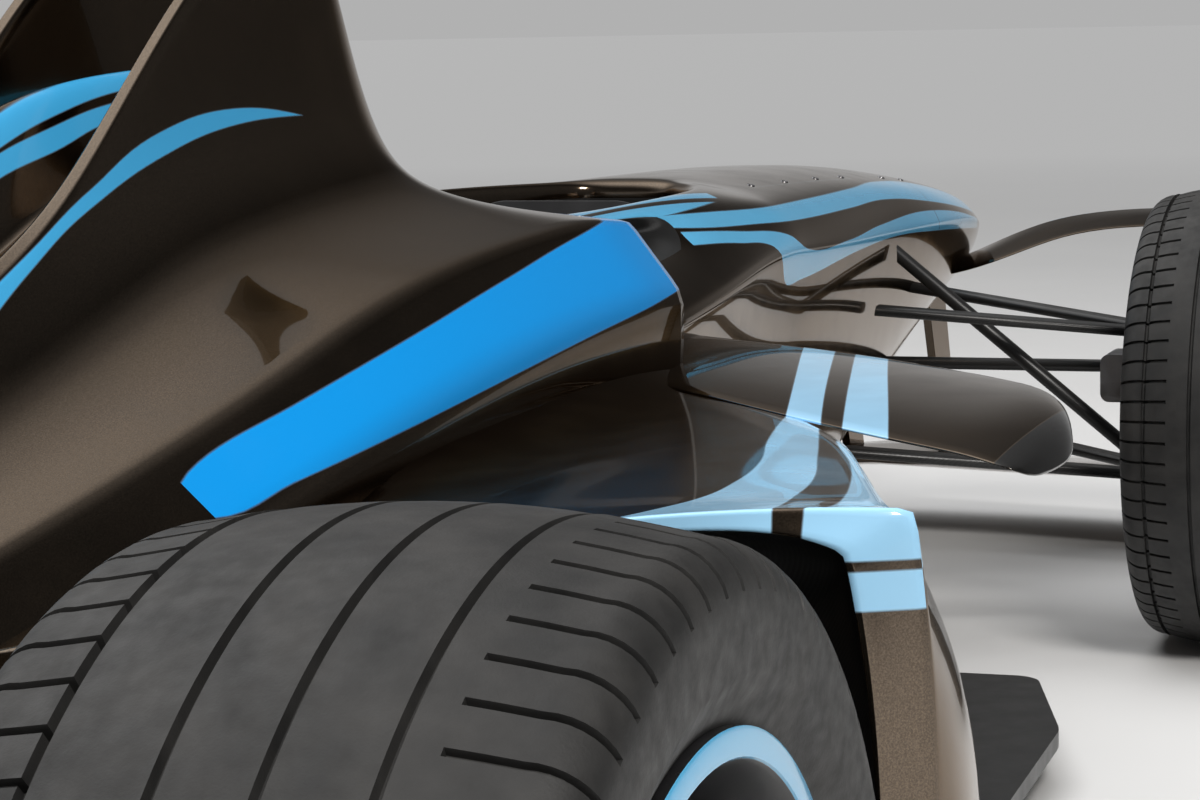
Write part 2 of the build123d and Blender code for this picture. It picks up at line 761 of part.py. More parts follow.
# Front wing: main plane under the nose, on two pylons
wing_lead_x = nose_tip_x
with BuildPart() as front_wing:
    blades = []
    for y, lead_x, lead_z, rise in (
        (-front_wing_half, wing_lead_x - 130, front_wing_z, 40),
        (-260, wing_lead_x - 20, front_wing_z, 30),
        (0, wing_lead_x, front_wing_z + 20, 10),
        (260, wing_lead_x - 20, front_wing_z, 30),
        (front_wing_half, wing_lead_x - 130, front_wing_z, 40),
    ):
        blades.append(wing_blade(y, lead_x, lead_z, front_wing_chord, rise, 10, 24))
    loft(blades, ruled=True)
    for pylon_y in (-85, 85):
        with BuildSketch(Plane.XZ.offset(-pylon_y)):
            with BuildLine():
                Polyline(
                    (wing_lead_x - 150, front_wing_z + 10),
                    (wing_lead_x - 60, front_wing_z + 14),
                    (wing_lead_x - 200, 520),
                    (wing_lead_x - 330, 520),
                    close=True,
                )
            make_face()
        extrude(amount=7, both=True)
    add(nose_cone.part, mode=Mode.SUBTRACT)
front_wing.part.label = "front_wing"
export_step(front_wing.part, "parts/front_wing.step")

# Upper plane: rises away from the nose on each side and droops at its ends
with BuildPart() as front_wing_upper_plane:
    for side in (1, -1):
        blades = []
        for y, lead_x, lead_z in (
            (60, nose_tip_x - 250, 470),
            (270, nose_tip_x - 270, 545),
            (500, nose_tip_x - 300, 575),
            (720, nose_tip_x - 330, 540),
            (front_wing_half - endplate_thickness, nose_tip_x - 345, 420),
        ):
            blades.append(wing_blade(side * y, lead_x, lead_z, upper_plane_chord, 25, 6, 16))
        loft(blades, ruled=True)
    add(nose_cone.part, mode=Mode.SUBTRACT)
front_wing_upper_plane.part.label = "front_wing_upper_plane"
export_step(front_wing_upper_plane.part, "parts/front_wing_upper_plane.step")

# Front endplates
with BuildPart() as front_wing_endplates:
    for side in (1, -1):
        plate_y = front_wing_half if side > 0 else -front_wing_half - endplate_thickness
        with BuildSketch(Plane.XZ.offset(-plate_y)):
            with BuildLine():
                FilletPolyline(
                    (nose_tip_x - 110, 70),
                    (nose_tip_x - 120, 200),
                    (nose_tip_x - 330, 450),
                    (nose_tip_x - 560, 460),
                    (nose_tip_x - 540, 70),
                    radius=[20, 60, 60, 20, 20],
                    close=True,
                )
            make_face()
        extrude(amount=-endplate_thickness)
    add(front_wing_upper_plane.part, mode=Mode.SUBTRACT)
    add(front_wing.part, mode=Mode.SUBTRACT)
front_wing_endplates.part.label = "front_wing_endplates"
export_step(front_wing_endplates.part, "parts/front_wing_endplates.step")

# Crash structure behind the casing
crash_low_z = 300
with BuildPart() as crash_structure:
    for cut_x, half_width, low_z, high_z in (
        (gearbox_rear_x, 80, 230, 400),
        (tail_x + 50, 55, crash_low_z, 400),
    ):
        with BuildSketch(Plane.YZ.offset(cut_x)):
            with Locations((0, (low_z + high_z) / 2)):
                RectangleRounded(2 * half_width, high_z - low_z, 20)
    loft()
crash_structure.part.label = "crash_structure"
export_step(crash_structure.part, "parts/crash_structure.step")

with BuildPart() as rain_light:
    with BuildSketch(Plane.YZ.offset(tail_x + 50)):
        with Locations((0, 350)):
            RectangleRounded(80, 70, 10)
    extrude(amount=-30)
rain_light.part.label = "rain_light"
export_step(rain_light.part, "parts/rain_light.step")

# Rear wing: main plane and flap between the endplates
main_lead_x = tail_x + 380
main_lead_z = rear_wing_z - 60
with BuildPart() as rear_wing:
    for lead_x, lead_z, chord, rise, camber, thickness in (
        (main_lead_x, main_lead_z, 250, 45, 16, 30),
        (tail_x + 150, rear_wing_z, 130, 48, 6, 16),
    ):
        ends = (-rear_wing_half, rear_wing_half)
        loft([wing_blade(y, lead_x, lead_z, chord, rise, camber, thickness) for y in ends], ruled=True)
rear_wing.part.label = "rear_wing"
export_step(rear_wing.part, "parts/rear_wing.step")

with BuildPart() as rear_wing_endplates:
    for side in (1, -1):
        plate_y = rear_wing_half if side > 0 else -rear_wing_half - endplate_thickness
        with BuildSketch(Plane.XZ.offset(-plate_y)):
            with BuildLine():
                FilletPolyline(
                    (tail_x, rear_endplate_top),
                    (tail_x + 400, rear_endplate_top - 40),
                    (tail_x + 400, rear_endplate_top - endplate_depth),
                    (tail_x + 300, rear_endplate_bottom),
                    (tail_x + 60, rear_endplate_bottom),
                    (tail_x, rear_endplate_bottom + 200),
                    radius=[20, 40, 60, 30, 30, 60],
                    close=True,
                )
            make_face()
        extrude(amount=-endplate_thickness)
rear_wing_endplates.part.label = "rear_wing_endplates"
export_step(rear_wing_endplates.part, "parts/rear_wing_endplates.step")

# Pylons from the crash structure up to the wing
with BuildPart() as rear_wing_pylons:
    for pylon_y in (-40, 40):
        with BuildSketch(Plane.XZ.offset(-pylon_y)):
            with BuildLine():
                Polyline(
                    (main_lead_x - 50, crash_low_z),
                    (main_lead_x - 230, crash_low_z),
                    (main_lead_x - 190, main_lead_z + 22),
                    (main_lead_x - 50, main_lead_z + 2),
                    close=True,
                )
            make_face()
        extrude(amount=6, both=True)
    add(crash_structure.part, mode=Mode.SUBTRACT)
    add(rear_wing.part, mode=Mode.SUBTRACT)
rear_wing_pylons.part.label = "rear_wing_pylons"
export_step(rear_wing_pylons.part, "parts/rear_wing_pylons.step")

# Seat: a reclined bucket on the tub's floor
seat_half = 164
seat_length = 640
with BuildPart() as seat:
    with BuildSketch(Plane.XZ):
        with BuildLine():
            FilletPolyline(
                (cockpit_rear_x, 560),
                (cockpit_rear_x, footwell_floor_z),
                (cockpit_rear_x + seat_length, footwell_floor_z + footwell_floor_rise * seat_length / cockpit_length),
                (cockpit_rear_x + seat_length, 260),
                (cockpit_rear_x + 420, 330),
                (cockpit_rear_x + 120, 560),
                radius=[10, 10, 20, 30, 80, 10],
                close=True,
            )
        make_face()
    extrude(amount=seat_half, both=True)
    with BuildSketch(Plane.XZ):
        with BuildLine():
            FilletPolyline(
                (cockpit_rear_x + 25, 600),
                (cockpit_rear_x + 230, footwell_floor_z + 40),
                (cockpit_rear_x + seat_length + 20, footwell_floor_z + 70),
                (cockpit_rear_x + seat_length + 20, 600),
                radius=[5, 90, 5, 5],
                close=True,
            )
        make_face()
    extrude(amount=seat_half - seat_wall, both=True, mode=Mode.SUBTRACT)
seat.part.label = "seat"
export_step(seat.part, "parts/seat.step")

# Headrest: a horseshoe pad round the rear of the opening
headrest_low_z = 580
headrest_high_z = 685
headrest_pad = 75
headrest_length = 400
headrest_round = 18
with BuildPart() as headrest:
    with BuildSketch(Plane.XY.offset(headrest_low_z)):
        with BuildLine():
            half = cockpit_rear_half - 18
            inner = half - headrest_pad
            FilletPolyline(
                (cockpit_rear_x, half),
                (cockpit_rear_x + headrest_length, half - 8),
                (cockpit_rear_x + headrest_length, inner),
                (cockpit_rear_x + headrest_pad, inner),
                (cockpit_rear_x + headrest_pad, -inner),
                (cockpit_rear_x + headrest_length, -inner),
                (cockpit_rear_x + headrest_length, -half + 8),
                (cockpit_rear_x, -half),
                radius=[30, 30, 30, 60, 60, 30, 30, 30],
                close=True,
            )
        make_face()
    extrude(amount=headrest_high_z - headrest_low_z)
    chamfer(headrest.faces().sort_by(Axis.Z)[-1].edges(), headrest_round)
headrest.part.label = "headrest"
export_step(headrest.part, "parts/headrest.step")

# Steering column and wheel
column_tilt = 20
column_radius = 14
wheel_centre = (cockpit_rear_x + 640, 0, 590)
towards_driver = Vector(-cos(radians(column_tilt)), 0, sin(radians(column_tilt)))
wheel_width = 260
wheel_height = 160
with BuildPart() as steering_wheel:
    with BuildSketch(Plane(origin=wheel_centre, x_dir=(0, 1, 0), z_dir=towards_driver)):
        RectangleRounded(wheel_width, wheel_height, 60)
        with Locations((-95, 0), (95, 0)):
            RectangleRounded(40, 90, 18, mode=Mode.SUBTRACT)
    extrude(amount=26)
steering_wheel.part.label = "steering_wheel"
export_step(steering_wheel.part, "parts/steering_wheel.step")

with BuildPart() as steering_column:
    start = Vector(*wheel_centre) - towards_driver * touch_gap
    with BuildSketch(Plane(origin=start, x_dir=(0, 1, 0), z_dir=towards_driver * -1)):
        Circle(column_radius)
    extrude(amount=600)
    with BuildSketch(Plane.XY.offset(400)):
        with Locations((cockpit_rear_x + cockpit_length + 60, 0)):
            Rectangle(30, 200)
    extrude(amount=260)
    with BuildSketch(Plane.XY.offset(200)):
        with Locations((footwell_front_x + 400, 0)):
            Rectangle(800, 800)
    extrude(amount=600, mode=Mode.SUBTRACT)
    add(monocoque.part, mode=Mode.SUBTRACT)
steering_column.part.label = "steering_column"
export_step(steering_column.part, "parts/steering_column.step")
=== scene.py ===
import json
from math import atan2, cos, pi, radians, sin, sqrt

import bmesh
import bpy
from mathutils import Matrix, Vector


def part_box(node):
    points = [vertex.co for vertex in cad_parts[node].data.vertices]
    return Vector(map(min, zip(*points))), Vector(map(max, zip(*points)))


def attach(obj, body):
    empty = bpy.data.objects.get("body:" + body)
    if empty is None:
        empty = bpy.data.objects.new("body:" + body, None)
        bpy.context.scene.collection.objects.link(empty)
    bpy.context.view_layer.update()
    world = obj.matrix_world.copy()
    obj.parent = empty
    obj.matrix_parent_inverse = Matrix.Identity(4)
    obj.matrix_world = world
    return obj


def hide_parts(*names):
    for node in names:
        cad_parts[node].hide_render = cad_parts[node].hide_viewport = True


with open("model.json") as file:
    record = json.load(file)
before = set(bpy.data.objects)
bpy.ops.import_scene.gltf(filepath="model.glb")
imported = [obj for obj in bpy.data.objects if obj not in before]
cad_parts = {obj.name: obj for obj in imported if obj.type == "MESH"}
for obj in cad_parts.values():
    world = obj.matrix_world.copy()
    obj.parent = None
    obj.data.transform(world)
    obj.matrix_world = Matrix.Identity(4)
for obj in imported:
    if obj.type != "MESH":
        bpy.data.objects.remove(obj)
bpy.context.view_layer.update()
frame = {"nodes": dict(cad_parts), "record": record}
nodes = frame["nodes"]
print("frame loaded with", len(nodes), "nodes")


def middle(node):
    low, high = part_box(node)
    return (low + high) / 2


rearX = middle("tyre_rear_right").x


def onCar(ahead, side, height):
    # millimetres ahead of the rear axle, out to the left and up from the ground, as the tables give them
    return Vector((rearX + ahead / 1000, side / 1000, height / 1000))


# Camera: a long lens low behind the right rear wheel, looking forward and inward
cameraSettings = {
    "place": (-1347.5, -1309.2, 911.5), "yaw": 0.3341, "pitch": 0.1243, "roll": -0.022,
    "lens": 95.4, "sensor": 36, "farClip": 100,
}


def makeCamera():
    yaw, pitch, roll = (cameraSettings[name] for name in ("yaw", "pitch", "roll"))
    ahead = Vector((cos(yaw) * cos(pitch), sin(yaw) * cos(pitch), -sin(pitch)))
    right = Vector((sin(yaw), -cos(yaw), 0))
    up = right.cross(ahead)
    tiltedRight = cos(roll) * right + sin(roll) * up
    tiltedUp = cos(roll) * up - sin(roll) * right
    turn = Matrix((tiltedRight, tiltedUp, -ahead)).transposed()
    data = bpy.data.cameras.new("camera")
    data.lens = cameraSettings["lens"]
    data.sensor_width = cameraSettings["sensor"]
    data.clip_end = cameraSettings["farClip"]
    camera = bpy.data.objects.new("camera", data)
    camera.matrix_world = Matrix.Translation(onCar(*cameraSettings["place"])) @ turn.to_4x4()
    bpy.context.scene.collection.objects.link(camera)
    bpy.context.scene.camera = camera


makeCamera()
print("camera placed")


# Node helpers for the finishes
def newMaterial(name):
    material = bpy.data.materials.new(name)
    material.use_nodes = True
    tree = material.node_tree
    return material, tree, tree.nodes["Principled BSDF"]


def feed(tree, made, inputs):
    # links each input to a socket or sets its value
    for key, value in inputs.items():
        if isinstance(value, bpy.types.NodeSocket):
            tree.links.new(value, made.inputs[key])
        else:
            made.inputs[key].default_value = value


def node(tree, kind, inputs=None, **settings):
    made = tree.nodes.new("ShaderNode" + kind)
    for key, value in settings.items():
        setattr(made, key, value)
    feed(tree, made, inputs or {})
    return made


def math(tree, operation, first, second):
    return node(tree, "Math", {0: first, 1: second}, operation=operation).outputs[0]


def both(tree, mask, *others):
    for other in others:
        mask = math(tree, "MULTIPLY", mask, other)
    return mask


def either(tree, mask, *others):
    for other in others:
        mask = math(tree, "MAXIMUM", mask, other)
    return mask


def objectPoint(tree):
    return node(tree, "TexCoord").outputs["Object"]


def split(tree, vector):
    return node(tree, "SeparateXYZ", {0: vector}).outputs


def noise(tree, scale, detail=4):
    inputs = {"Vector": objectPoint(tree), "Scale": scale, "Detail": detail}
    return node(tree, "TexNoise", inputs).outputs["Fac"]


def rgba(colour):
    # a grey from one number or a colour from three; a socket stays as it is
    if isinstance(colour, (int, float)):
        colour = (colour, colour, colour)
    return (*colour, 1) if isinstance(colour, tuple) else colour


def ramp(tree, factor, *stops):
    made = node(tree, "ValToRGB", {0: factor})
    elements = made.color_ramp.elements
    while len(elements) < len(stops):
        elements.new(0.5)
    for element, (place, colour) in zip(elements, stops):
        element.position = place
        element.color = rgba(colour)
    return made.outputs[0]


def bump(tree, height, strength, distance=0.001):
    return node(tree, "Bump", {"Height": height, "Strength": strength, "Distance": distance}).outputs[0]


def within(tree, value, low=None, high=None, soft=0.0008):
    # 1 between low and high, with a narrow soft edge; an edge of None is left open
    masks = []
    for edge, side in ((low, soft), (high, -soft)):
        if edge is not None:
            inputs = {"Value": value, "From Min": edge - side, "From Max": edge + side}
            masks.append(node(tree, "MapRange", inputs).outputs[0])
    return both(tree, *masks)


def mixColour(tree, factor, first, second):
    return node(tree, "Mix", {0: factor, 6: rgba(first), 7: rgba(second)}, data_type="RGBA").outputs[2]


def curveOf(tree, factor, points):
    # smooth curve through points whose places and values lie between 0 and 1
    made = node(tree, "FloatCurve", {"Value": factor})
    curve = made.mapping.curves[0]
    curve.points[0].location = points[0]
    curve.points[1].location = points[-1]
    for point in points[1:-1]:
        curve.points.new(*point)
    made.mapping.update()
    return made.outputs[0]


# Stripes: each lies between a low and a high edge, given as (ahead of the rear axle, value) in millimetres;
# the value is a height on the cover and the tub, and a distance to the side on the pods
stripeReach = 4.0
stripeTable = {
    "bandLow": ((704, 558), (712, 546), (820, 559), (1043, 586), (1262, 608), (1499, 627), (1600, 634)),
    "bandHigh": ((704, 558), (735, 576), (886, 610), (1128, 655), (1282, 678), (1423, 696), (1600, 712)),
    "arcLow": ((500, 560), (700, 652), (832, 714), (926, 756), (1045, 793), (1159, 812), (1300, 816)),
    "arcHigh": ((500, 575), (700, 670), (843, 729), (934, 771), (1054, 814), (1166, 827), (1300, 816)),
    "spineUpperLow": ((400, 620), (650, 712), (913, 806), (1014, 829), (1140, 845), (1350, 850)),
    "spineUpperHigh": ((400, 634), (650, 729), (914, 826), (1015, 849), (1157, 862), (1350, 866)),
    "spineLowerLow": ((400, 598), (650, 690), (893, 782), (993, 801), (1092, 819), (1350, 826)),
    "spineLowerHigh": ((400, 611), (650, 704), (894, 798), (995, 819), (1111, 835), (1350, 842)),
    "podInnerLow": ((400, 690), (517, 706), (572, 709), (683, 699), (806, 679), (1007, 629),
        (1304, 562), (1704, 466), (1800, 443)),
    "podInnerHigh": ((400, 803), (431, 797), (552, 775), (698, 749), (897, 699), (1221, 614),
        (1690, 503), (1800, 477)),
    "podOuterLow": ((400, 835), (430, 828), (559, 805), (698, 775), (860, 733), (1037, 677),
        (1170, 645), (1651, 533), (1750, 510)),
    "podOuterHigh": ((400, 930), (450, 900), (531, 860), (743, 790), (1000, 725), (1128, 695),
        (1603, 578), (1700, 555)),
    "tubUpperLow": ((1900, 672), (2100, 655), (2346, 642), (2517, 634), (2860, 626), (3100, 622),
        (3400, 600), (3800, 555)),
    "tubUpperHigh": ((1900, 680), (2153, 669), (2412, 657), (2650, 651), (2998, 645), (3200, 642),
        (3500, 620), (3800, 572)),
    "tubLowerLow": ((2040, 640), (2200, 630), (2331, 615), (2370, 566), (2460, 564), (2834, 571),
        (3100, 570), (3410, 555), (3800, 530)),
    "tubLowerHigh": ((2040, 655), (2240, 641), (2443, 621), (2500, 600), (2770, 590), (3000, 593),
        (3373, 588), (3800, 545)),
}


def alongCar(tree):
    # 0 at the rear axle and 1 at the stripes' reach ahead of it
    x = split(tree, objectPoint(tree))[0]
    return math(tree, "DIVIDE", math(tree, "SUBTRACT", x, rearX), stripeReach)


def stretch(tree, start, end, soft=0.0008):
    # 1 between two distances ahead of the rear axle, in metres
    return within(tree, alongCar(tree), start / stripeReach, end / stripeReach, soft)


def stripe(tree, measure, name):
    edges = stripeTable[name + "Low"], stripeTable[name + "High"]
    low, high = (curveOf(tree, alongCar(tree), [(x / 1000 / stripeReach, value / 1000) for x, value in edge])
                 for edge in edges)
    start, end = max(edge[0][0] for edge in edges), min(edge[-1][0] for edge in edges)
    above = within(tree, math(tree, "SUBTRACT", measure, low), 0)
    below = within(tree, math(tree, "SUBTRACT", high, measure), 0)
    return both(tree, above, below, stretch(tree, start / 1000, end / 1000, 0.0002))


def measures(tree):
    x, y, z = split(tree, objectPoint(tree))
    return math(tree, "ABSOLUTE", y, 0), z


coverLimits = {
    "flank": (0.0775, 0.24), "spine": (None, 0.05), "band": (0.24,), "seam": (0.348, 0.3502), "seamAbove": 0.10,
}


def coverStripes(tree):
    side, height = measures(tree)
    arc = both(tree, stripe(tree, height, "arc"), within(tree, side, *coverLimits["flank"]))
    pair = either(tree, stripe(tree, height, "spineUpper"), stripe(tree, height, "spineLower"))
    return either(tree, arc, both(tree, pair, within(tree, side, *coverLimits["spine"])))


def coverBand(tree):
    side, height = measures(tree)
    return both(tree, stripe(tree, height, "band"), within(tree, side, *coverLimits["band"]))


def coverSeams(tree):
    # the joint across the cover, behind the fairing
    above = within(tree, measures(tree)[1], coverLimits["seamAbove"])
    return both(tree, stretch(tree, *coverLimits["seam"], 0.0001), above)


podLimits = {
    "edgeHeight": 0.60, "edgeFall": 0.20,  # the top's edge at the axle, and its fall over the stripes' reach
    "wraps": ((0.554, 0.5775), (0.5835, 0.625)), "wrapAhead": (0, 0.454), "wrapSide": 0.815,
    # the vane's end, painted black as painted shade, lies outboard of capSide and between the capAhead
    # distances
    "capSide": 0.797, "capAhead": (1.03, 1.5),
}


def podStripes(tree):
    # two stripes over the top, and the outer one carried round the rear edge with a dark line in it
    side, height = measures(tree)
    fall = math(tree, "MULTIPLY", alongCar(tree), podLimits["edgeFall"])
    edgeHeight = math(tree, "SUBTRACT", podLimits["edgeHeight"], fall)
    top = within(tree, math(tree, "SUBTRACT", height, edgeHeight), 0)
    pair = either(tree, stripe(tree, side, "podInner"), stripe(tree, side, "podOuter"))
    wraps = either(tree, *(within(tree, height, *heights) for heights in podLimits["wraps"]))
    edge = both(tree, stretch(tree, *podLimits["wrapAhead"], 0.0002), within(tree, side, podLimits["wrapSide"]))
    return either(tree, both(tree, pair, top, math(tree, "SUBTRACT", 1, edge)), both(tree, wraps, edge))


def vaneTipPaintedShade(tree):
    # the end of the vane painted black: painted shade where it faces outboard and back
    outward = within(tree, measures(tree)[0], podLimits["capSide"])
    return both(tree, outward, stretch(tree, *podLimits["capAhead"]))


tubLimits = {
    "rimPair": ((0.184, 0.198), (0.206, 0.222)), "rimAhead": (1.74, 2.30), "rimAbove": 0.674,
    "noseSeam": (3.398, 3.4005), "seamAbove": 0.60,
    "lidSide": (0.1485, 0.1505), "lidAhead": (2.62, 3.12), "lidEnds": ((2.619, 2.6212), (3.119, 3.1212)),
}


def tubStripes(tree):
    # two stripes along the flank and a pair beside the cockpit's rim
    side, height = measures(tree)
    pair = either(tree, *(within(tree, side, *sides) for sides in tubLimits["rimPair"]))
    rim = both(tree, stretch(tree, *tubLimits["rimAhead"]), within(tree, height, tubLimits["rimAbove"]))
    long = either(tree, stripe(tree, height, "tubUpper"), stripe(tree, height, "tubLower"))
    return either(tree, long, both(tree, pair, rim))


def tubSeams(tree):
    # the joints of the nose and of the lid over the pedals
    side, height = measures(tree)
    nose = stretch(tree, *tubLimits["noseSeam"], 0.0001)
    lidEdge = within(tree, side, *tubLimits["lidSide"], 0.0003)
    lidEdge = both(tree, lidEdge, stretch(tree, *tubLimits["lidAhead"]))
    lidEnds = either(tree, *(stretch(tree, *end, 0.0001) for end in tubLimits["lidEnds"]))
    lid = either(tree, lidEdge, both(tree, lidEnds, within(tree, side, None, tubLimits["lidSide"][1])))
    return either(tree, nose, both(tree, lid, within(tree, height, tubLimits["seamAbove"])))


# Finishes, with colours in linear light
paintColours = {
    "bronze": (0.095, 0.070, 0.048),
    "flake": (0.190, 0.143, 0.102),
    "bronzeEdge": (0.50, 0.41, 0.33),
    "bandBlue": (0.003, 0.25, 0.66),
    "arcBlue": (0.045, 0.33, 0.62),
    "skyBlue": (0.10, 0.42, 0.70),
    "paleBlue": (0.32, 0.60, 0.84),
    # black for the joints, and painted shade on the vane's end
    "seamBlackAndShade": (0.004, 0.004, 0.004),
}
paintFinish = {
    "flakeScale": 900, "dustScale": 14, "peelScale": 700, "peel": 0.03, "coat": 0.6, "coatRough": 0.02,
}


def glossPaint(name, colour="bronze", flake="flake", metallic=1.0, layers=(), rough=(0.12, 0.22)):
    # clear coated metallic paint, with plain coloured layers where their masks are 1
    material, tree, shader = newMaterial(name)
    flakes = noise(tree, paintFinish["flakeScale"], 2)
    finish = ramp(tree, flakes, (0.35, paintColours[colour]), (0.75, paintColours[flake]))
    masks = []
    for mask, maskColour in layers:
        masks.append(mask(tree))
        finish = mixColour(tree, masks[-1], finish, paintColours[maskColour])
    if masks:
        bare = math(tree, "SUBTRACT", 1, either(tree, *masks))
        metallic = math(tree, "MULTIPLY", bare, metallic)
    peel = noise(tree, paintFinish["peelScale"], 2)
    feed(tree, shader, {
        "Base Color": finish,
        "Metallic": metallic,
        "Roughness": ramp(tree, noise(tree, paintFinish["dustScale"], 6), (0.4, rough[0]), (0.8, rough[1])),
        "Specular Tint": rgba(paintColours["bronzeEdge"]),
        "Coat Weight": paintFinish["coat"],
        "Coat Roughness": paintFinish["coatRough"],
        "Normal": bump(tree, peel, paintFinish["peel"], 0.0004),
    })
    return material


def carbonFibre():
    material, tree, shader = newMaterial("carbonFibre")
    inputs = {"Vector": objectPoint(tree), "Scale": 160.0, "Distortion": 0.6, "Detail": 1.0}
    weave = node(tree, "TexWave", inputs, bands_direction="DIAGONAL").outputs["Fac"]
    feed(tree, shader, {
        "Base Color": ramp(tree, weave, (0.3, 0.007), (0.7, 0.016)),
        "Roughness": ramp(tree, noise(tree, 20), (0.3, 0.3), (0.8, 0.45)),
        "Normal": bump(tree, weave, 0.08, 0.0005),
    })
    return material


def tyreRubber():
    material, tree, shader = newMaterial("tyreRubber")
    feed(tree, shader, {
        "Base Color": ramp(tree, noise(tree, 25, 8), (0.35, 0.010), (0.75, (0.024, 0.023, 0.022))),
        "Roughness": ramp(tree, noise(tree, 80), (0.3, 0.5), (0.8, 0.72)),
        "Normal": bump(tree, noise(tree, 600, 6), 0.25, 0.0006),
    })
    return material


def lampLens():
    material, tree, shader = newMaterial("lampRed")
    inputs = {"Vector": objectPoint(tree), "Scale": 110.0}
    cells = node(tree, "TexVoronoi", inputs).outputs["Distance"]
    feed(tree, shader, {
        "Base Color": ramp(tree, cells, (0.1, (0.50, 0.012, 0.010)), (0.7, (0.20, 0.004, 0.004))),
        "Roughness": 0.12,
        "Normal": bump(tree, cells, 0.5),
    })
    return material


drift = {
    # scale of the tint and its shares, scale of the wear and its shares, depth of the grain, metallic
    "plastic": (30, (0.8, 1.2), 12, (0.85, 1.15), 0.001, 0.0),
    "metal": (40, (0.8, 1.0), 60, (0.8, 1.3), 0.0005, 1.0),
}
plainTable = {
    # kind, colour, roughness, scale and strength of the grain
    "blackPlastic": ("plastic", (0.012, 0.012, 0.013), 0.45, 300.0, 0.08),
    "buttonBlue": ("plastic", (0.03, 0.20, 0.5), 0.35, 300.0, 0.08),
    "buttonGrey": ("plastic", (0.35, 0.35, 0.36), 0.4, 300.0, 0.08),
    "screenGlass": ("plastic", (0.004, 0.006, 0.008), 0.08, 50.0, 0.01),
    "gripRubber": ("plastic", (0.02, 0.02, 0.021), 0.6, 900.0, 0.3),
    "strapWebbing": ("plastic", (0.02, 0.02, 0.022), 0.75, 1200.0, 0.5),
    "padFabric": ("plastic", (0.02, 0.02, 0.024), 0.8, 900.0, 0.4),
    "rimPaint": ("plastic", (0.012, 0.012, 0.013), 0.3, 200.0, 0.03),
    "turnedSteel": ("metal", (0.30, 0.30, 0.31), 0.3, 500.0, 0.06),
    "machinedAlloy": ("metal", (0.42, 0.42, 0.44), 0.35, 500.0, 0.06),
    "castCasing": ("metal", (0.12, 0.12, 0.13), 0.5, 500.0, 0.06),
}


def plainFinish(name, kind, colour, rough, grain, strength):
    # a colour and a roughness that drift a little, with a fine grain
    material, tree, shader = newMaterial(name)
    tintScale, tints, wearScale, wears, depth, metallic = drift[kind]
    tints = [tuple(c * share for c in colour) for share in tints]
    wears = [rough * share for share in wears]
    feed(tree, shader, {
        "Base Color": ramp(tree, noise(tree, tintScale), *zip((0.3, 0.7), tints)),
        "Roughness": ramp(tree, noise(tree, wearScale), *zip((0.3, 0.7), wears)),
        "Metallic": metallic,
        "Normal": bump(tree, noise(tree, grain), strength, depth),
    })
    return material


bronze = glossPaint("bronzePaint")
coverLayers = [(coverBand, "bandBlue"), (coverStripes, "arcBlue"), (coverSeams, "seamBlackAndShade")]
coverPaint = glossPaint("coverPaint", layers=coverLayers, rough=(0.15, 0.27))
# the vane's end is painted black as painted shade
podPaint = glossPaint("podPaint", layers=[(podStripes, "paleBlue"), (vaneTipPaintedShade, "seamBlackAndShade")], rough=(0.18, 0.28))
tubPaint = glossPaint("tubPaint", layers=[(tubStripes, "skyBlue"), (tubSeams, "seamBlackAndShade")])
ringPaint = glossPaint("ringPaint", "skyBlue", "skyBlue", metallic=0.0)
carbon = carbonFibre()
rubber = tyreRubber()
lampRed = lampLens()
plain = {name: plainFinish(name, *values) for name, values in plainTable.items()}
print("finishes made")


# Mesh helpers
weldGap = 0.00005
mirrorGap = 0.0002


def lattice(rows, faceMaterial=None, creases=None):
    # grid of quads through rows of points; creases maps a column or ("row", n) to a weight
    bm = bmesh.new()
    across, along = len(rows[0]) - 1, len(rows) - 1
    bmesh.ops.create_grid(bm, x_segments=across, y_segments=along, size=0.5)
    crease = bm.edges.layers.float.new("crease_edge")
    place = {v: (round((v.co.x + 0.5) * across), round((v.co.y + 0.5) * along)) for v in bm.verts}
    for face in bm.faces:
        if faceMaterial:
            face.material_index = faceMaterial(*(min(place[v][axis] for v in face.verts) for axis in (0, 1)))
    for edge in bm.edges:
        (i, j), (k, n) = place[edge.verts[0]], place[edge.verts[1]]
        if creases and i == k and i in creases:
            edge[crease] = creases[i]
        if creases and j == n and ("row", j) in creases:
            edge[crease] = creases[("row", j)]
    for v, (i, j) in place.items():
        v.co = rows[j][i]
    return bm


def closeForm(bm, gap):
    # join the doubled seam and fill the open ends
    bmesh.ops.remove_doubles(bm, verts=bm.verts, dist=gap)
    bmesh.ops.holes_fill(bm, edges=[e for e in bm.edges if e.is_boundary], sides=0)


def mirrorForm(bm):
    bmesh.ops.mirror(bm, geom=bm.verts[:] + bm.edges[:] + bm.faces[:], axis="Y", merge_dist=mirrorGap)


def finishPiece(bm, name, body, materials, levels=0, thickness=0, sharp=None):
    # turn a bmesh into a piece that rides on a body; sharp is the angle from which an edge stays hard
    bmesh.ops.remove_doubles(bm, verts=bm.verts, dist=weldGap)
    bmesh.ops.recalc_face_normals(bm, faces=bm.faces)
    for face in bm.faces:
        face.smooth = True
    mesh = bpy.data.meshes.new(name)
    bm.to_mesh(mesh)
    bm.free()
    if sharp:
        mesh.set_sharp_from_angle(angle=radians(sharp))
    piece = bpy.data.objects.new(name, mesh)
    bpy.context.scene.collection.objects.link(piece)
    for material in materials:
        mesh.materials.append(material)
    if levels:
        subdivision = piece.modifiers.new("smooth", "SUBSURF")
        subdivision.levels = subdivision.render_levels = levels
    if thickness:
        wall = piece.modifiers.new("wall", "SOLIDIFY")
        wall.thickness = thickness
        wall.offset = -1
        wall.use_even_offset = False
    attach(piece, body)
    return piece


def addTo(whole, bm):
    part = bpy.data.meshes.new("part")
    bm.to_mesh(part)
    bm.free()
    whole.from_mesh(part)
    bpy.data.meshes.remove(part)


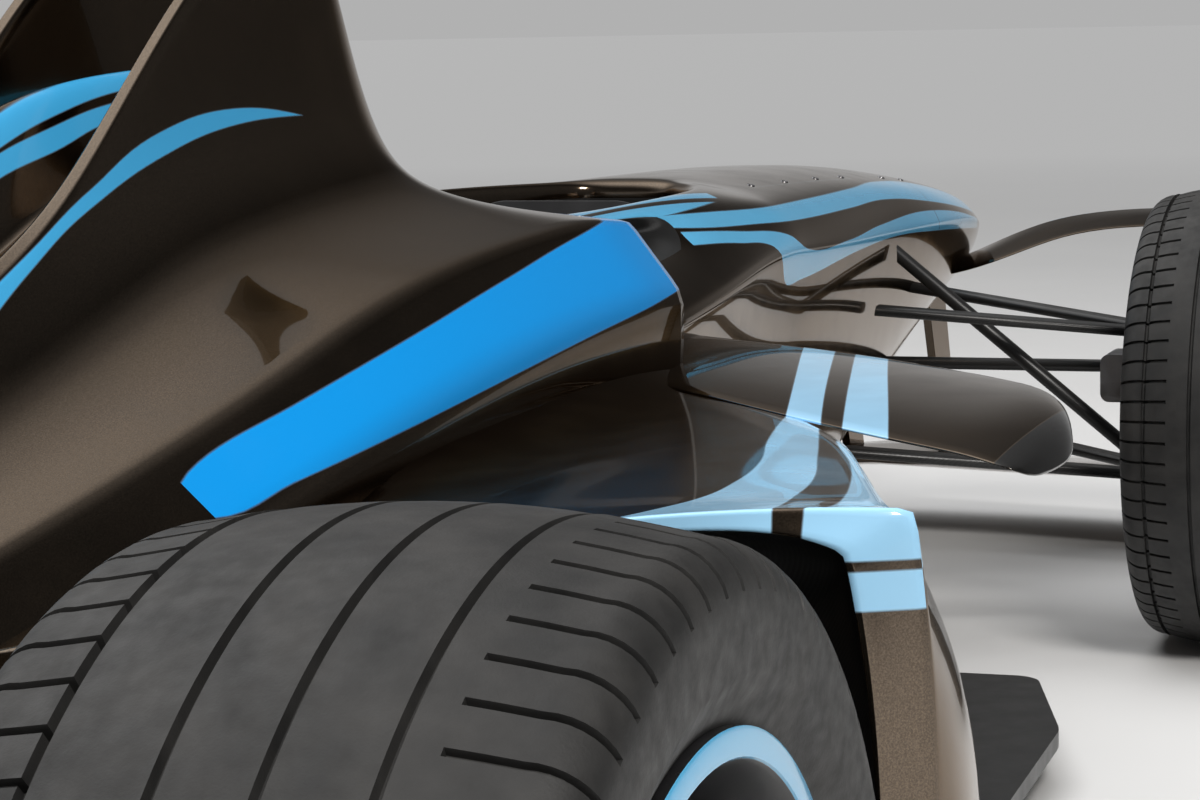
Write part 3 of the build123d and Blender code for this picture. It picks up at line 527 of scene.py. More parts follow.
# Engine cover: half sections from the spine over the side wall of the fairing, down its flare,
# along the shoulder, over the band and down to the floor
coverStations = {
    # ahead: spine height, then side and height of the spine's edge, valley, wall inside, wall top, wall foot,
    # flare, flank, crest, band, side and skirt
    -330: (460, (30, 455), (45, 440), (52, 440), (60, 438), (68, 425), (80, 400), (100, 375),
        (120, 360), (142, 320), (135, 260), (130, 200)),
    0: (545, (22, 535), (45, 510), (55, 512), (66, 508), (78, 485), (95, 455), (125, 435), (152, 428),
        (195, 375), (190, 250), (180, 120)),
    300: (622, (20, 610), (45, 575), (60, 578), (73, 573), (90, 550), (110, 528), (148, 512),
        (190, 508), (255, 435), (240, 280), (220, 70)),
    600: (722, (20, 708), (46, 648), (62, 655), (76, 650), (96, 620), (122, 590), (172, 570),
        (226, 562), (292, 500), (280, 300), (250, 70)),
    800: (798, (20, 778), (48, 700), (66, 712), (80, 706), (102, 675), (130, 640), (195, 618),
        (256, 608), (322, 548), (310, 300), (280, 70)),
    920: (842, (20, 815), (50, 735), (70, 772), (83, 770), (104, 718), (135, 678), (205, 652),
        (272, 638), (338, 574), (330, 300), (300, 70)),
    1020: (862, (20, 832), (52, 748), (72, 850), (85, 850), (104, 752), (140, 705), (212, 680),
        (284, 664), (350, 592), (340, 300), (300, 70)),
    1140: (872, (20, 838), (52, 750), (72, 935), (85, 935), (106, 780), (145, 722), (220, 698),
        (296, 686), (362, 608), (345, 300), (300, 70)),
    1260: (876, (20, 838), (52, 750), (70, 1000), (83, 1000), (108, 790), (150, 732), (228, 708),
        (306, 698), (370, 620), (350, 300), (300, 70)),
    1360: (874, (20, 835), (52, 748), (70, 1000), (83, 1000), (110, 790), (155, 736), (235, 714),
        (314, 704), (375, 626), (355, 300), (300, 70)),
    1430: (866, (20, 830), (52, 745), (70, 985), (83, 985), (111, 788), (157, 738), (239, 716),
        (319, 707), (379, 629), (357, 300), (300, 70)),
    1500: (835, (20, 800), (52, 742), (72, 800), (86, 800), (112, 762), (160, 735), (243, 716),
        (324, 708), (383, 631), (360, 300), (300, 70)),
    1585: (790, (20, 770), (52, 728), (72, 724), (86, 722), (112, 720), (160, 716), (247, 708),
        (326, 700), (382, 626), (360, 300), (300, 70)),
}
coverShape = {"wall": 0.006, "creases": {8: 0.7, 9: 0.5, 3: 0.7, 4: 0.7}, "frontCrease": 0.9}


def halfSection(ahead, top, points):
    return [onCar(ahead, 0, top)] + [onCar(ahead, -side, height) for side, height in points]


def makeCover():
    rows = [halfSection(ahead, top, points) for ahead, (top, *points) in coverStations.items()]
    bm = lattice(rows, None, {**coverShape["creases"], ("row", len(rows) - 1): coverShape["frontCrease"]})
    mirrorForm(bm)
    return finishPiece(bm, "coverShell", "chassis", [coverPaint], levels=3, thickness=coverShape["wall"])


# Sidepods: section points from the inner top edge round to the inner bottom edge
podStations = {
    # ahead: side and height of the inner edge, valley, rise, crest, shoulder, bulge, side, foot and root
    430: ((250, 500), (400, 525), (600, 596), (800, 616), (880, 614), (891, 500), (890, 280), (875, 65),
        (200, 65)),
    500: ((255, 510), (400, 530), (590, 590), (780, 608), (858, 602), (899, 490), (899, 280), (890, 65),
        (200, 65)),
    620: ((265, 525), (405, 536), (575, 582), (748, 597), (818, 590), (888, 470), (888, 270), (868, 65),
        (220, 65)),
    850: ((292, 548), (415, 543), (540, 570), (678, 583), (744, 576), (818, 450), (812, 260), (795, 65),
        (240, 65)),
    1100: ((315, 570), (420, 549), (505, 560), (600, 569), (668, 562), (735, 440), (725, 250),
        (700, 65), (260, 65)),
    1320: ((327, 586), (405, 554), (455, 555), (508, 558), (562, 550), (625, 430), (615, 250),
        (595, 65), (270, 65)),
    1480: ((331, 595), (385, 558), (415, 553), (445, 550), (482, 541), (545, 430), (535, 250),
        (515, 65), (280, 65)),
    1600: ((332, 600), (365, 561), (380, 553), (394, 547), (420, 532), (490, 430), (480, 250),
        (470, 65), (290, 65)),
}
podLip = (
    # from the rear outline in to the edge of the arch, outward and up
    (10, -12), (0, -12), (0, -10), (-4, -10), (-40, -26), (-32, -10), (-30, 0), (-22, 10), (10, 12),
)
podShape = {
    "outerColumns": (4, 5, 6, 7), "turn": 22,  # the rear face outside the arch looks a little outward
    "recessEnd": (430, 620, 320), "recess": ((0.85, 100), (0.12, 100), (0.02, 50)),  # share inward, depth
    "ductEnd": (1600, 420, 330), "duct": ((0.93, 0), (0.88, 150)),  # share kept, depth
    "creases": {("row", 3): 0.85, ("row", 4): 0.6, 4: 0.55, 7: 0.9, 0: 0.6, 8: 0.6},
}


def makePod(side, name):
    rows = [[onCar(ahead, side * out, height) for out, height in points + points[:1]]
            for ahead, points in podStations.items()]
    lip = [p + Vector((0, side * out, rise)) / 1000 for p, (out, rise) in zip(rows[0], podLip + podLip[:1])]
    for column in podShape["outerColumns"]:
        rows[0][column].x += podShape["turn"] / 1000
    recessEnd, ductEnd = (onCar(ahead, side * out, height) for ahead, out, height in
                          (podShape["recessEnd"], podShape["ductEnd"]))
    recess = [[p + (recessEnd - p) * pull + Vector((depth, 0, 0)) / 1000 for p in lip]
              for pull, depth in podShape["recess"]]
    duct = [[ductEnd + (p - ductEnd) * size - Vector((depth, 0, 0)) / 1000 for p in rows[-1]]
            for size, depth in podShape["duct"]]
    rows = recess + [lip] + rows + duct
    bm = lattice(rows, lambda i, j: 1 if j < len(recess) or j > len(rows) - 3 else 0, podShape["creases"])
    return finishPiece(bm, "podShell." + name, "chassis", [podPaint, carbon], levels=3)


# Tub and nose: half sections from the top centre to the keel
tubStations = {
    # ahead: top height, then side and height of the rim, shoulder, waist, ridge, side and keel
    1560: (695, (170, 695), (240, 682), (262, 640), (335, 585), (320, 480), (290, 60)),
    1640: (695, (175, 695), (238, 682), (260, 640), (335, 587), (315, 480), (285, 60)),
    1720: (695, (185, 695), (236, 682), (258, 641), (333, 590), (310, 480), (280, 60)),
    2000: (695, (190, 695), (228, 678), (250, 640), (306, 598), (288, 490), (265, 65)),
    2250: (692, (176, 692), (218, 672), (240, 640), (274, 608), (266, 500), (240, 90)),
    2400: (690, (140, 690), (210, 668), (238, 640), (260, 606), (256, 510), (225, 120)),
    2480: (689, (90, 689), (206, 666), (236, 638), (255, 602), (252, 510), (218, 135)),
    2530: (688, (60, 688), (204, 664), (234, 636), (252, 598), (250, 510), (212, 150)),
    2800: (682, (70, 682), (194, 656), (224, 625), (238, 585), (235, 510), (188, 215)),
    3100: (674, (68, 674), (182, 648), (210, 615), (222, 575), (218, 510), (162, 265)),
    3400: (655, (66, 655), (172, 632), (202, 602), (218, 568), (210, 505), (138, 325)),
    3700: (620, (60, 620), (160, 604), (190, 580), (204, 556), (196, 496), (120, 390)),
    3920: (580, (50, 580), (132, 566), (160, 548), (172, 528), (164, 484), (100, 425)),
    4060: (532, (32, 532), (80, 524), (98, 510), (105, 496), (98, 474), (66, 446)),
}
tubShape = {
    "openingAhead": (1.71, 2.54), "openingAbove": 0.68, "openingSide": (-1, 0.195),
    "ductAhead": (1.63, 2.01), "ductSide": (0.22, 0.27), "ductAbove": 0.63, "ductRim": 0.006,
    "ductSink": (0, 0.05, -0.004),
    "well": ((0.012, 0.97, 0), (0.10, 0.94, 1), (0.28, 0.80, 1), (0.12, 0.60, 1)),  # drop, width, finish
    "keelDrop": (6, 8), "creases": {4: 0.55, ("row", 0): 1.0}, "noseCrease": 0.6,
}


def makeTub():
    rows = []
    for ahead, (top, *points) in tubStations.items():
        (keelSide, keelHeight), (halfway, centre) = points[-1], tubShape["keelDrop"]
        keel = [(keelSide * 0.5, keelHeight - halfway), (0, keelHeight - centre)]
        rows.append(halfSection(ahead, top, points + keel))
    bm = lattice(rows, None, {**tubShape["creases"], ("row", len(rows) - 1): tubShape["noseCrease"]})

    def facesIn(name):
        (start, end), (low, high), above = (tubShape[name + part] for part in ("Ahead", "Side", "Above"))
        return [f for f in bm.faces if all(start < v.co.x - rearX < end and low < abs(v.co.y) < high
                                           and v.co.z > above for v in f.verts)]

    opened, duct = facesIn("opening"), facesIn("duct")
    for face in duct:
        face.material_index = 1
    bmesh.ops.inset_region(bm, faces=duct, thickness=tubShape["ductRim"], depth=0)
    bmesh.ops.translate(bm, verts=list({v for f in duct for v in f.verts}), vec=tubShape["ductSink"])
    bmesh.ops.delete(bm, geom=opened, context="FACES")
    mirrorForm(bm)
    bmesh.ops.remove_doubles(bm, verts=bm.verts, dist=weldGap)
    start, end = tubShape["openingAhead"]
    rim = [e for e in bm.edges if e.is_boundary and min(v.co.z for v in e.verts) > tubShape["openingAbove"]
           and start < min(v.co.x for v in e.verts) - rearX < end]
    for drop, width, finish in tubShape["well"]:
        grown = bmesh.ops.extrude_edge_only(bm, edges=rim)["geom"]
        rim = [e for e in grown if isinstance(e, bmesh.types.BMEdge) and e.is_boundary]
        for part in grown:
            if isinstance(part, bmesh.types.BMFace):
                part.material_index = finish
            elif isinstance(part, bmesh.types.BMVert):
                part.co.z -= drop
                part.co.y *= width
    for face in bmesh.ops.holes_fill(bm, edges=rim, sides=0)["faces"]:
        face.material_index = 1
    return finishPiece(bm, "tubShell", "chassis", [tubPaint, carbon], levels=3)


# Vanes: closed sections across the chord, from the root out to the drooped tip
vaneStations = (
    # side, leading edge and trailing edge ahead, height, half thickness
    (270, 1900, 1560, 553, 11), (360, 1830, 1500, 554, 11), (450, 1765, 1400, 555, 11),
    (550, 1685, 1290, 555, 11), (640, 1600, 1195, 555, 11), (720, 1520, 1115, 555, 10),
    (765, 1460, 1080, 554, 10), (798, 1360, 1052, 551, 11), (818, 1255, 1050, 545, 12),
    (828, 1190, 1080, 535, 11),
)
vaneOutline = (
    # along the chord, half thicknesses up
    (0.0, 0.0), (0.03, 0.75), (0.3, 1.0), (0.75, 0.75), (1.0, 0.12),
    (1.0, -0.12), (0.75, -0.6), (0.3, -0.8), (0.03, -0.6), (0.0, 0.0),
)
vaneShape = {"droopFrom": 780, "droopOver": 45, "creases": {4: 0.6, 5: 0.6, ("row", 0): 1.0}}
foilGap = 0.00002


def makeVane(side, name):
    rows = []
    for out, lead, trail, height, half in vaneStations:
        tilt = half * min(1, max(0, (out - vaneShape["droopFrom"]) / vaneShape["droopOver"]))
        chord = lead - trail
        rows.append([onCar(lead - chord * place, side * (out + tilt * rise), height + (half - tilt) * rise)
                     for place, rise in vaneOutline])
    bm = lattice(rows, None, vaneShape["creases"])
    closeForm(bm, foilGap)
    return finishPiece(bm, "vaneShell." + name, "chassis", [podPaint], levels=2)


# Forms swept along a path, such as the roll round the rear of the cockpit
def sweep(path, section, ends=1.0):
    # section is (outward, upward) offsets; the first and last ring are scaled by ends
    rows = []
    for index, point in enumerate(path):
        before, after = path[max(0, index - 1)], path[min(len(path) - 1, index + 1)]
        along = (after - before).normalized()
        outward = along.cross(Vector((0, 0, 1))).normalized()
        upward = outward.cross(along).normalized()
        size = ends if index in (0, len(path) - 1) else 1
        ring = [point + size * (outward * out + upward * up) for out, up in section]
        rows.append(ring + ring[:1])
    bm = lattice(rows)
    closeForm(bm, weldGap)
    return bm


def roundSection(halfWidth, halfHeight, parts=12, power=0.7):
    # an ellipse at power 1, squarer below it
    def squared(value):
        return abs(value) ** power * (1 if value > 0 else -1)

    turns = [2 * pi * step / parts for step in range(parts)]
    return [(halfWidth * squared(cos(turn)), halfHeight * squared(sin(turn))) for turn in turns]


def bothSides(half):
    # a path from the right side to its mirrored end on the left
    return half + [Vector((p.x, -p.y, p.z)) for p in half[-2::-1]]


rollShape = {
    "path": ((1570, -118, 690), (1610, -105, 706), (1640, -65, 722), (1652, 0, 728)),
    "section": (0.028, 0.022), "ends": 0.4,
}


def makeRoll():
    path = bothSides([onCar(*point) for point in rollShape["path"]])
    bm = sweep(path, roundSection(*rollShape["section"], power=1), rollShape["ends"])
    return finishPiece(bm, "cockpitRoll", "chassis", [bronze], levels=2)


# Padding: a closed form remeshed and blown up as cloth, held down along its sewn channels
softSettings = {"voxel": 0.005, "pressure": 4.0, "frames": 20, "cap": 0.007, "seamHalf": 0.003}


def makeSoft(bm, name, material, seamDistance):
    mesh = bpy.data.meshes.new(name)
    bmesh.ops.recalc_face_normals(bm, faces=bm.faces)
    bm.to_mesh(mesh)
    bm.free()
    piece = bpy.data.objects.new(name, mesh)
    bpy.context.scene.collection.objects.link(piece)
    bpy.context.view_layer.objects.active = piece
    remesh = piece.modifiers.new("remesh", "REMESH")
    remesh.mode = "VOXEL"
    remesh.voxel_size = softSettings["voxel"]
    bpy.ops.object.modifier_apply(modifier="remesh")
    start = [v.co.copy() for v in piece.data.vertices]
    held = piece.vertex_groups.new(name="held")
    sewn = [v.index for v in piece.data.vertices if seamDistance(v.co) < softSettings["seamHalf"]]
    held.add(sewn, 1.0, "REPLACE")
    last = softSettings["frames"]
    cloth = piece.modifiers.new("cloth", "CLOTH")
    cloth.settings.use_pressure = True
    cloth.settings.uniform_pressure_force = softSettings["pressure"]
    cloth.settings.effector_weights.gravity = 0
    cloth.settings.vertex_group_mass = "held"
    cloth.point_cache.frame_start = 1
    cloth.point_cache.frame_end = last
    scene = bpy.context.scene
    for step in range(1, last + 1):
        scene.frame_set(step)
    solved = piece.evaluated_get(bpy.context.evaluated_depsgraph_get())
    places = [v.co.copy() for v in solved.data.vertices]
    piece.modifiers.remove(cloth)
    scene.frame_set(1)
    for vertex, first, blown in zip(piece.data.vertices, start, places):
        moved = blown - first
        vertex.co = first + moved * min(1, softSettings["cap"] / max(moved.length, 1e-6))
    piece.vertex_groups.remove(held)
    for face in piece.data.polygons:
        face.use_smooth = True
    piece.data.materials.clear()
    piece.data.materials.append(material)
    smooth = piece.modifiers.new("smooth", "SUBSURF")
    smooth.levels = smooth.render_levels = 1
    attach(piece, "chassis")
    return piece


# Pads along a path of (x, y, z) in metres: past the split the first seams hold, before it the second
padTable = {
    # the headrest is a horseshoe round the rear of the cockpit opening
    "headrestPad": {
        "path": ((0.400, -0.176, 0.633), (0.34, -0.178, 0.633), (0.25, -0.180, 0.633), (0.17, -0.174, 0.633),
                 (0.105, -0.150, 0.633), (0.070, -0.095, 0.633), (0.062, -0.03, 0.633), (0.061, 0.0, 0.633)),
        "mirrored": True, "section": (0.030, 0.043, 24, 0.62), "ends": 0.72,
        "split": ("x", 0.13), "seams": (("x", (0.155, 0.235, 0.315)), ("y", (-0.10, 0.0, 0.10))),
    },
    # the seat pad lies down the back and along the base of the bucket
    "seatPad": {
        "path": ((0.077, 0, 0.571), (0.103, 0, 0.513), (0.140, 0, 0.431), (0.178, 0, 0.347), (0.2245, 0, 0.246),
                 (0.262, 0, 0.196), (0.31, 0, 0.172), (0.38, 0, 0.170), (0.50, 0, 0.179), (0.62, 0, 0.188)),
        "mirrored": False, "section": (0.116, 0.012, 40, 0.5), "ends": 0.9,
        "split": ("z", 0.25), "seams": (("z", (0.50, 0.43, 0.36, 0.29)), ("x", (0.36, 0.44, 0.52))),
    },
}


def makePad(name):
    pad = padTable[name]
    splitAxis, splitAt = pad["split"]

    def seamDistance(place):
        axis, seams = pad["seams"][0 if getattr(place, splitAxis) > splitAt else 1]
        return min(abs(getattr(place, axis) - seam) for seam in seams)

    path = [Vector(point) for point in pad["path"]]
    bm = sweep(bothSides(path) if pad["mirrored"] else path, roundSection(*pad["section"]), pad["ends"])
    return makeSoft(bm, name, plain["padFabric"], seamDistance)


# Round heads, for the fasteners, the buttons and the buckle
def addStud(bm, place, normal, radius, height, recess=0.45, segments=20, finish=0):
    turn = normal.to_track_quat("Z", "Y").to_matrix().to_4x4()
    made = bmesh.ops.create_cone(bm, cap_ends=True, segments=segments, radius1=radius, radius2=radius * 0.9,
                                 depth=height * 2, matrix=Matrix.Translation(place) @ turn)
    faces = list({f for v in made["verts"] for f in v.link_faces})
    for face in faces:
        face.material_index = finish
    top = [f for f in faces if f.normal.dot(normal) > 0.9 and len(f.verts) > 4]
    bmesh.ops.inset_region(bm, faces=top, thickness=radius * (1 - recess), depth=0)
    bmesh.ops.translate(bm, verts=list({v for f in top for v in f.verts}), vec=normal * -height * 0.6)


# Harness: flat webbing lying on the pad, held by one round buckle, in metres
harnessShape = {
    "straps": (
        ((0.070, 0.050, 0.606), (0.103, 0.052, 0.583), (0.165, 0.054, 0.443), (0.203, 0.054, 0.358),
         (0.247, 0.050, 0.263), (0.280, 0.042, 0.220), (0.312, 0.028, 0.203), (0.338, 0.012, 0.201)),
        ((0.245, 0.137, 0.262), (0.268, 0.112, 0.228), (0.295, 0.075, 0.208), (0.320, 0.040, 0.202),
         (0.340, 0.010, 0.201)),
        ((0.470, 0.022, 0.204), (0.42, 0.018, 0.202), (0.38, 0.012, 0.201), (0.350, 0.006, 0.201)),
    ),
    "section": (0.0215, 0.0013, 12, 0.3),
    "buckle": (0.345, 0.0, 0.204), "buckleFacing": (-0.10, 0, 1),
    "discs": ((0, 0.030, 0.011, 0.7, 40, 0), (0.005, 0.016, 0.009, 0.8, 32, 1)),  # raised, then the stud's own
}


def makeHarness():
    whole = bmesh.new()
    for points in harnessShape["straps"]:
        for side in (1, -1):
            path = [Vector((x, side * y, z)) for x, y, z in points]
            addTo(whole, sweep(path, roundSection(*harnessShape["section"])))
    straps = finishPiece(whole, "harnessStraps", "chassis", [plain["strapWebbing"]], sharp=50)
    bm = bmesh.new()
    place, facing = Vector(harnessShape["buckle"]), Vector(harnessShape["buckleFacing"]).normalized()
    for raised, *size in harnessShape["discs"]:
        addStud(bm, place + facing * raised, facing, *size)
    materials = [plain["machinedAlloy"], plain["buttonBlue"]]
    return straps, finishPiece(bm, "harnessBuckle", "chassis", materials, sharp=35)


# Upper plane of the front wing: sections from tip to tip
planeStations = (
    # side, leading and trailing edge height
    (0, 446, 448), (50, 450, 450), (140, 466, 458), (220, 508, 476), (300, 538, 508), (370, 549, 533),
    (470, 557, 545), (600, 553, 545), (740, 520, 515), (868, 430, 430),
)
planeOutline = (
    # along the chord, half thicknesses up
    (0.0, 0.0), (0.015, 0.6), (0.11, 1.0), (0.13, 1.0), (0.5, 1.0), (1.0, 0.2),
    (1.0, -0.2), (0.5, -1.0), (0.11, -1.0), (0.015, -0.6), (0.0, 0.0),
)
planeShape = {
    "lead": 3868, "trail": 3665, "half": 6, "stripeFrom": 260, "stripeColumns": 2,
    "creases": {2: 0.4, 5: 0.9, 6: 0.9},
}


def makePlane():
    stations = [(-side, lead, trail) for side, lead, trail in planeStations[:0:-1]] + list(planeStations)
    ahead, half = planeShape["lead"], planeShape["half"]
    chord = ahead - planeShape["trail"]
    rows = [[onCar(ahead - chord * place, side, lead + (trail - lead) * place + half * rise)
             for place, rise in planeOutline] for side, lead, trail in stations]

    def blueEdge(column, row):
        out = min(abs(stations[row][0]), abs(stations[row + 1][0]))
        return 1 if column < planeShape["stripeColumns"] and out > planeShape["stripeFrom"] else 0

    bm = lattice(rows, blueEdge, {**planeShape["creases"], ("row", 0): 1.0, ("row", len(rows) - 1): 1.0})
    closeForm(bm, foilGap)
    return finishPiece(bm, "upperPlane", "chassis", [bronze, ringPaint], levels=2)


# Fittings that lie on another piece: where a line first meets it
def landing(piece, start, direction):
    solid = piece.evaluated_get(bpy.context.evaluated_depsgraph_get())
    inverse = solid.matrix_world.inverted()
    found, place, normal, _ = solid.ray_cast(inverse @ start, inverse.to_3x3() @ direction)
    if not found:
        print("no landing on", piece.name, "from", [round(c, 3) for c in start])
        return None
    return solid.matrix_world @ place, (solid.matrix_world.to_3x3() @ normal).normalized()


studShape = {
    "size": (0.0055, 0.0012),
    "coverAhead": (20, 200, 380), "coverFrom": (1000, 130),
    "lidAhead": (2640, 2800, 2960, 3100, 3340, 3460), "lidFrom": (140, 1000),
}


def makeStuds(name, piece, starts, direction):
    bm = bmesh.new()
    for start in starts:
        met = landing(piece, start, Vector(direction))
        if met:
            addStud(bm, *met, *studShape["size"])
    return finishPiece(bm, name, "chassis", [plain["machinedAlloy"]], sharp=35)


# Hand wheel: buttons, display and grips, in metres from its centre
wheelShape = {
    "centre": (0.6356, 0.0, 0.5989), "facing": (-0.940, 0.0, 0.342),
    "probe": 0.2, "button": (0.004, 0.6, 24),  # height, recess, segments
    "display": (0.088, 0.050, 0.008), "displayUp": 0.026, "bezel": 0.004, "sunk": 0.001,
    "grip": ((0.012, 0.055), (0.003, 0.038), (0, 0.015), (0, -0.015), (0.003, -0.038), (0.012, -0.055)),
    "gripOut": 0.1185, "gripBehind": 0.013, "gripSection": (0.0105, 0.0165, 16, 0.8), "gripEnds": 0.85,
}
wheelButtons = (
    # across, up, radius, finish
    (-0.058, 0.040, 0.007, 1), (0.058, 0.040, 0.007, 1), (-0.058, 0.012, 0.006, 2),
    (0.058, 0.012, 0.006, 2), (-0.058, -0.014, 0.006, 1), (0.058, -0.014, 0.006, 2),
    (-0.036, -0.045, 0.011, 0), (0.036, -0.045, 0.011, 0), (0.0, -0.050, 0.008, 2),
)


def makeWheelFittings():
    centre, facing = Vector(wheelShape["centre"]), Vector(wheelShape["facing"]).normalized()
    leftward = Vector((0, 1, 0))
    upward = facing.cross(leftward).normalized()
    upward = upward if upward.z > 0 else -upward
    bm = bmesh.new()
    for across, rise, radius, finish in wheelButtons:
        start = centre + leftward * across + upward * rise + facing * wheelShape["probe"]
        met = landing(nodes["steering_wheel"], start, -facing)
        if met:
            addStud(bm, *met, radius, *wheelShape["button"], finish)
    place = Matrix.Translation(centre + upward * wheelShape["displayUp"])
    place = place @ Matrix((leftward, upward, facing)).transposed().to_4x4()
    display = bmesh.ops.create_cube(bm, size=1, matrix=place @ Matrix.Diagonal((*wheelShape["display"], 1)))
    front = [f for f in {f for v in display["verts"] for f in v.link_faces} if f.normal.dot(facing) > 0.9]
    bmesh.ops.inset_region(bm, faces=front, thickness=wheelShape["bezel"], depth=-wheelShape["sunk"])
    for face in front:
        face.material_index = 3
    finishes = [plain[name] for name in ("blackPlastic", "buttonBlue", "buttonGrey", "screenGlass")]
    buttons = finishPiece(bm, "wheelButtons", "hand_wheel", finishes, sharp=35)
    whole = bmesh.new()
    for side in (1, -1):
        behind = centre - facing * wheelShape["gripBehind"]
        path = [behind + leftward * side * (wheelShape["gripOut"] - bow) + upward * rise
                for bow, rise in wheelShape["grip"]]
        addTo(whole, sweep(path, roundSection(*wheelShape["gripSection"]), wheelShape["gripEnds"]))
    return buttons, finishPiece(whole, "wheelGrips", "hand_wheel", [plain["gripRubber"]], levels=1)


# Wheels turn about the y axis of their hub
def turned(profile, side, steps, closed=False):
    # a profile of (out, reach) spun about the hub
    bm = bmesh.new()
    points = [bm.verts.new((0, side * out, reach)) for out, reach in profile]
    lines = [bm.edges.new(pair) for pair in zip(points, points[1:] + (points[:1] if closed else []))]
    bmesh.ops.spin(bm, geom=points + lines, axis=(0, 1, 0), cent=(0, 0, 0), steps=steps, angle=2 * pi,
                   use_merge=True)
    return bm


def reachOf(place):
    return sqrt(place.x ** 2 + place.z ** 2)


# Tyres: tread with grooves, sipes across both shoulders, bulged sidewalls
tyreSizes = {
    "shoulder": 0.030, "shoulderParts": 8, "crown": 0.012, "treadPitch": 0.015,
    "grooves": (0.0675, 0.018, -0.029, -0.090), "grooveWidth": 0.0055, "grooveDepth": 0.006, "grooveFoot": 0.6,
    "sidewall": ((-0.015, 0.2286), (-0.015, 0.2385), (-0.011, 0.2455), (-0.006, 0.2555), (-0.001, 0.266)),
    "bellyRise": 0.006,
    "sipes": 72, "sipeParts": 6, "sipeRim": 0.0009, "sipeDepth": 0.004,
    # sipes: how far in from the sidewall and down on the tread, and the same on the cheek above the sidewall
    "sipeIn": 0.063, "sipeDown": 0.0192, "cheekIn": 0.02, "cheekDown": 0.034,
}


def tyreProfile(halfWidth, radius):
    # points (out, reach) from bead to bead, with the grooves sunk into the tread
    shoulder, crown = tyreSizes["shoulder"], tyreSizes["crown"]
    half, depth, foot = tyreSizes["grooveWidth"] / 2, tyreSizes["grooveDepth"], tyreSizes["grooveFoot"]
    edge = halfWidth - shoulder
    bend = radius - crown - shoulder  # reach of the shoulder's centre

    def treadRadius(out):
        return radius - crown * (abs(out) / edge) ** 2

    def treadBetween(start, end):
        steps = max(1, round((start - end) / tyreSizes["treadPitch"]))
        places = [start - (start - end) * step / steps for step in range(1, steps)]
        return [(place, treadRadius(place)) for place in places]

    side = [(halfWidth + out, reach) for out, reach in tyreSizes["sidewall"]]
    side.append((halfWidth, (side[-1][1] + bend) / 2 + tyreSizes["bellyRise"]))
    parts = tyreSizes["shoulderParts"]
    angles = [step * pi / 2 / parts for step in range(parts + 1)]
    side += [(edge + shoulder * cos(angle), bend + shoulder * sin(angle)) for angle in angles]
    tread, out = [], edge
    for mark in tyreSizes["grooves"]:
        level = treadRadius(mark)
        tread += treadBetween(out, mark + half)
        tread += [(mark + half, level), (mark + half * foot, level - depth),
                  (mark - half * foot, level - depth), (mark - half, level)]
        out = mark - half
    return side + tread + treadBetween(out, -edge) + [(-out, reach) for out, reach in reversed(side)]


def makeTyre(corner, hub, side, halfWidth, radius):
    turns = tyreSizes["sipes"] * tyreSizes["sipeParts"]
    bm = turned(tyreProfile(halfWidth, radius), side, turns)
    bmesh.ops.recalc_face_normals(bm, faces=bm.faces)
    sipes = []
    for face in bm.faces:
        place = face.calc_center_median()
        around = (atan2(place.x, place.z) + pi) / (2 * pi) * turns
        inward, down = halfWidth - abs(place.y), radius - reachOf(place)
        onTread = inward < tyreSizes["sipeIn"] and down < tyreSizes["sipeDown"]
        onCheek = inward < tyreSizes["cheekIn"] and down < tyreSizes["cheekDown"]
        if int(around) % tyreSizes["sipeParts"] == 0 and (onTread or onCheek):
            sipes.append(face)
    bmesh.ops.inset_region(bm, faces=sipes, thickness=tyreSizes["sipeRim"], depth=-tyreSizes["sipeDepth"],
                           use_even_offset=True, use_boundary=True)
    bmesh.ops.translate(bm, verts=bm.verts, vec=hub)
    piece = finishPiece(bm, "tread." + corner, "wheel_" + corner, [rubber], sharp=38)
    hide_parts("tyre_" + corner)
    return piece


# Rims: barrel with a coloured ring on its outer face, tapered spokes and a centre nut
rimSizes = {
    "inset": 0.015, "face": 0.095, "ringFrom": 0.2245, "ringOut": 0.004, "steps": 120, "hubSteps": 72,
    "spokes": 10, "spokeFoot": 0.7, "softEdge": 0.0025,
}
rimProfile = (
    # side of the rim, out past the tyre's seat, reach: inner flange, well, outer ring and back
    (-1, 0.007, 0.240), (-1, 0.0075, 0.222), (-1, -0.012, 0.217), (0, -0.030, 0.207), (0, 0.0, 0.202),
    (1, -0.045, 0.204), (1, -0.018, 0.2125), (1, -0.004, 0.2195), (1, 0.004, 0.2225), (1, 0.0065, 0.2245),
    (1, 0.0075, 0.2255), (1, 0.0078, 0.238), (1, 0.0068, 0.240), (1, 0.0, 0.240), (1, 0.0, 0.2286),
    (-1, 0.0, 0.2286), (-1, 0.0, 0.240),
)
spokeStations = (
    # reach, out from the rim's face, half width, depth
    (0.050, -0.012, 0.017, 0.020), (0.085, -0.006, 0.0125, 0.016), (0.150, -0.001, 0.010, 0.013),
    (0.195, -0.001, 0.012, 0.013), (0.2085, -0.004, 0.020, 0.014),
)
hubProfile = (
    # out from the rim's face, reach
    (-0.034, 0.052), (-0.008, 0.058), (-0.004, 0.055), (-0.004, 0.036), (-0.010, 0.034), (-0.010, 0.0),
)
nutShape = {"foot": 0.030, "top": 0.027, "depth": 0.024, "out": 0.002}


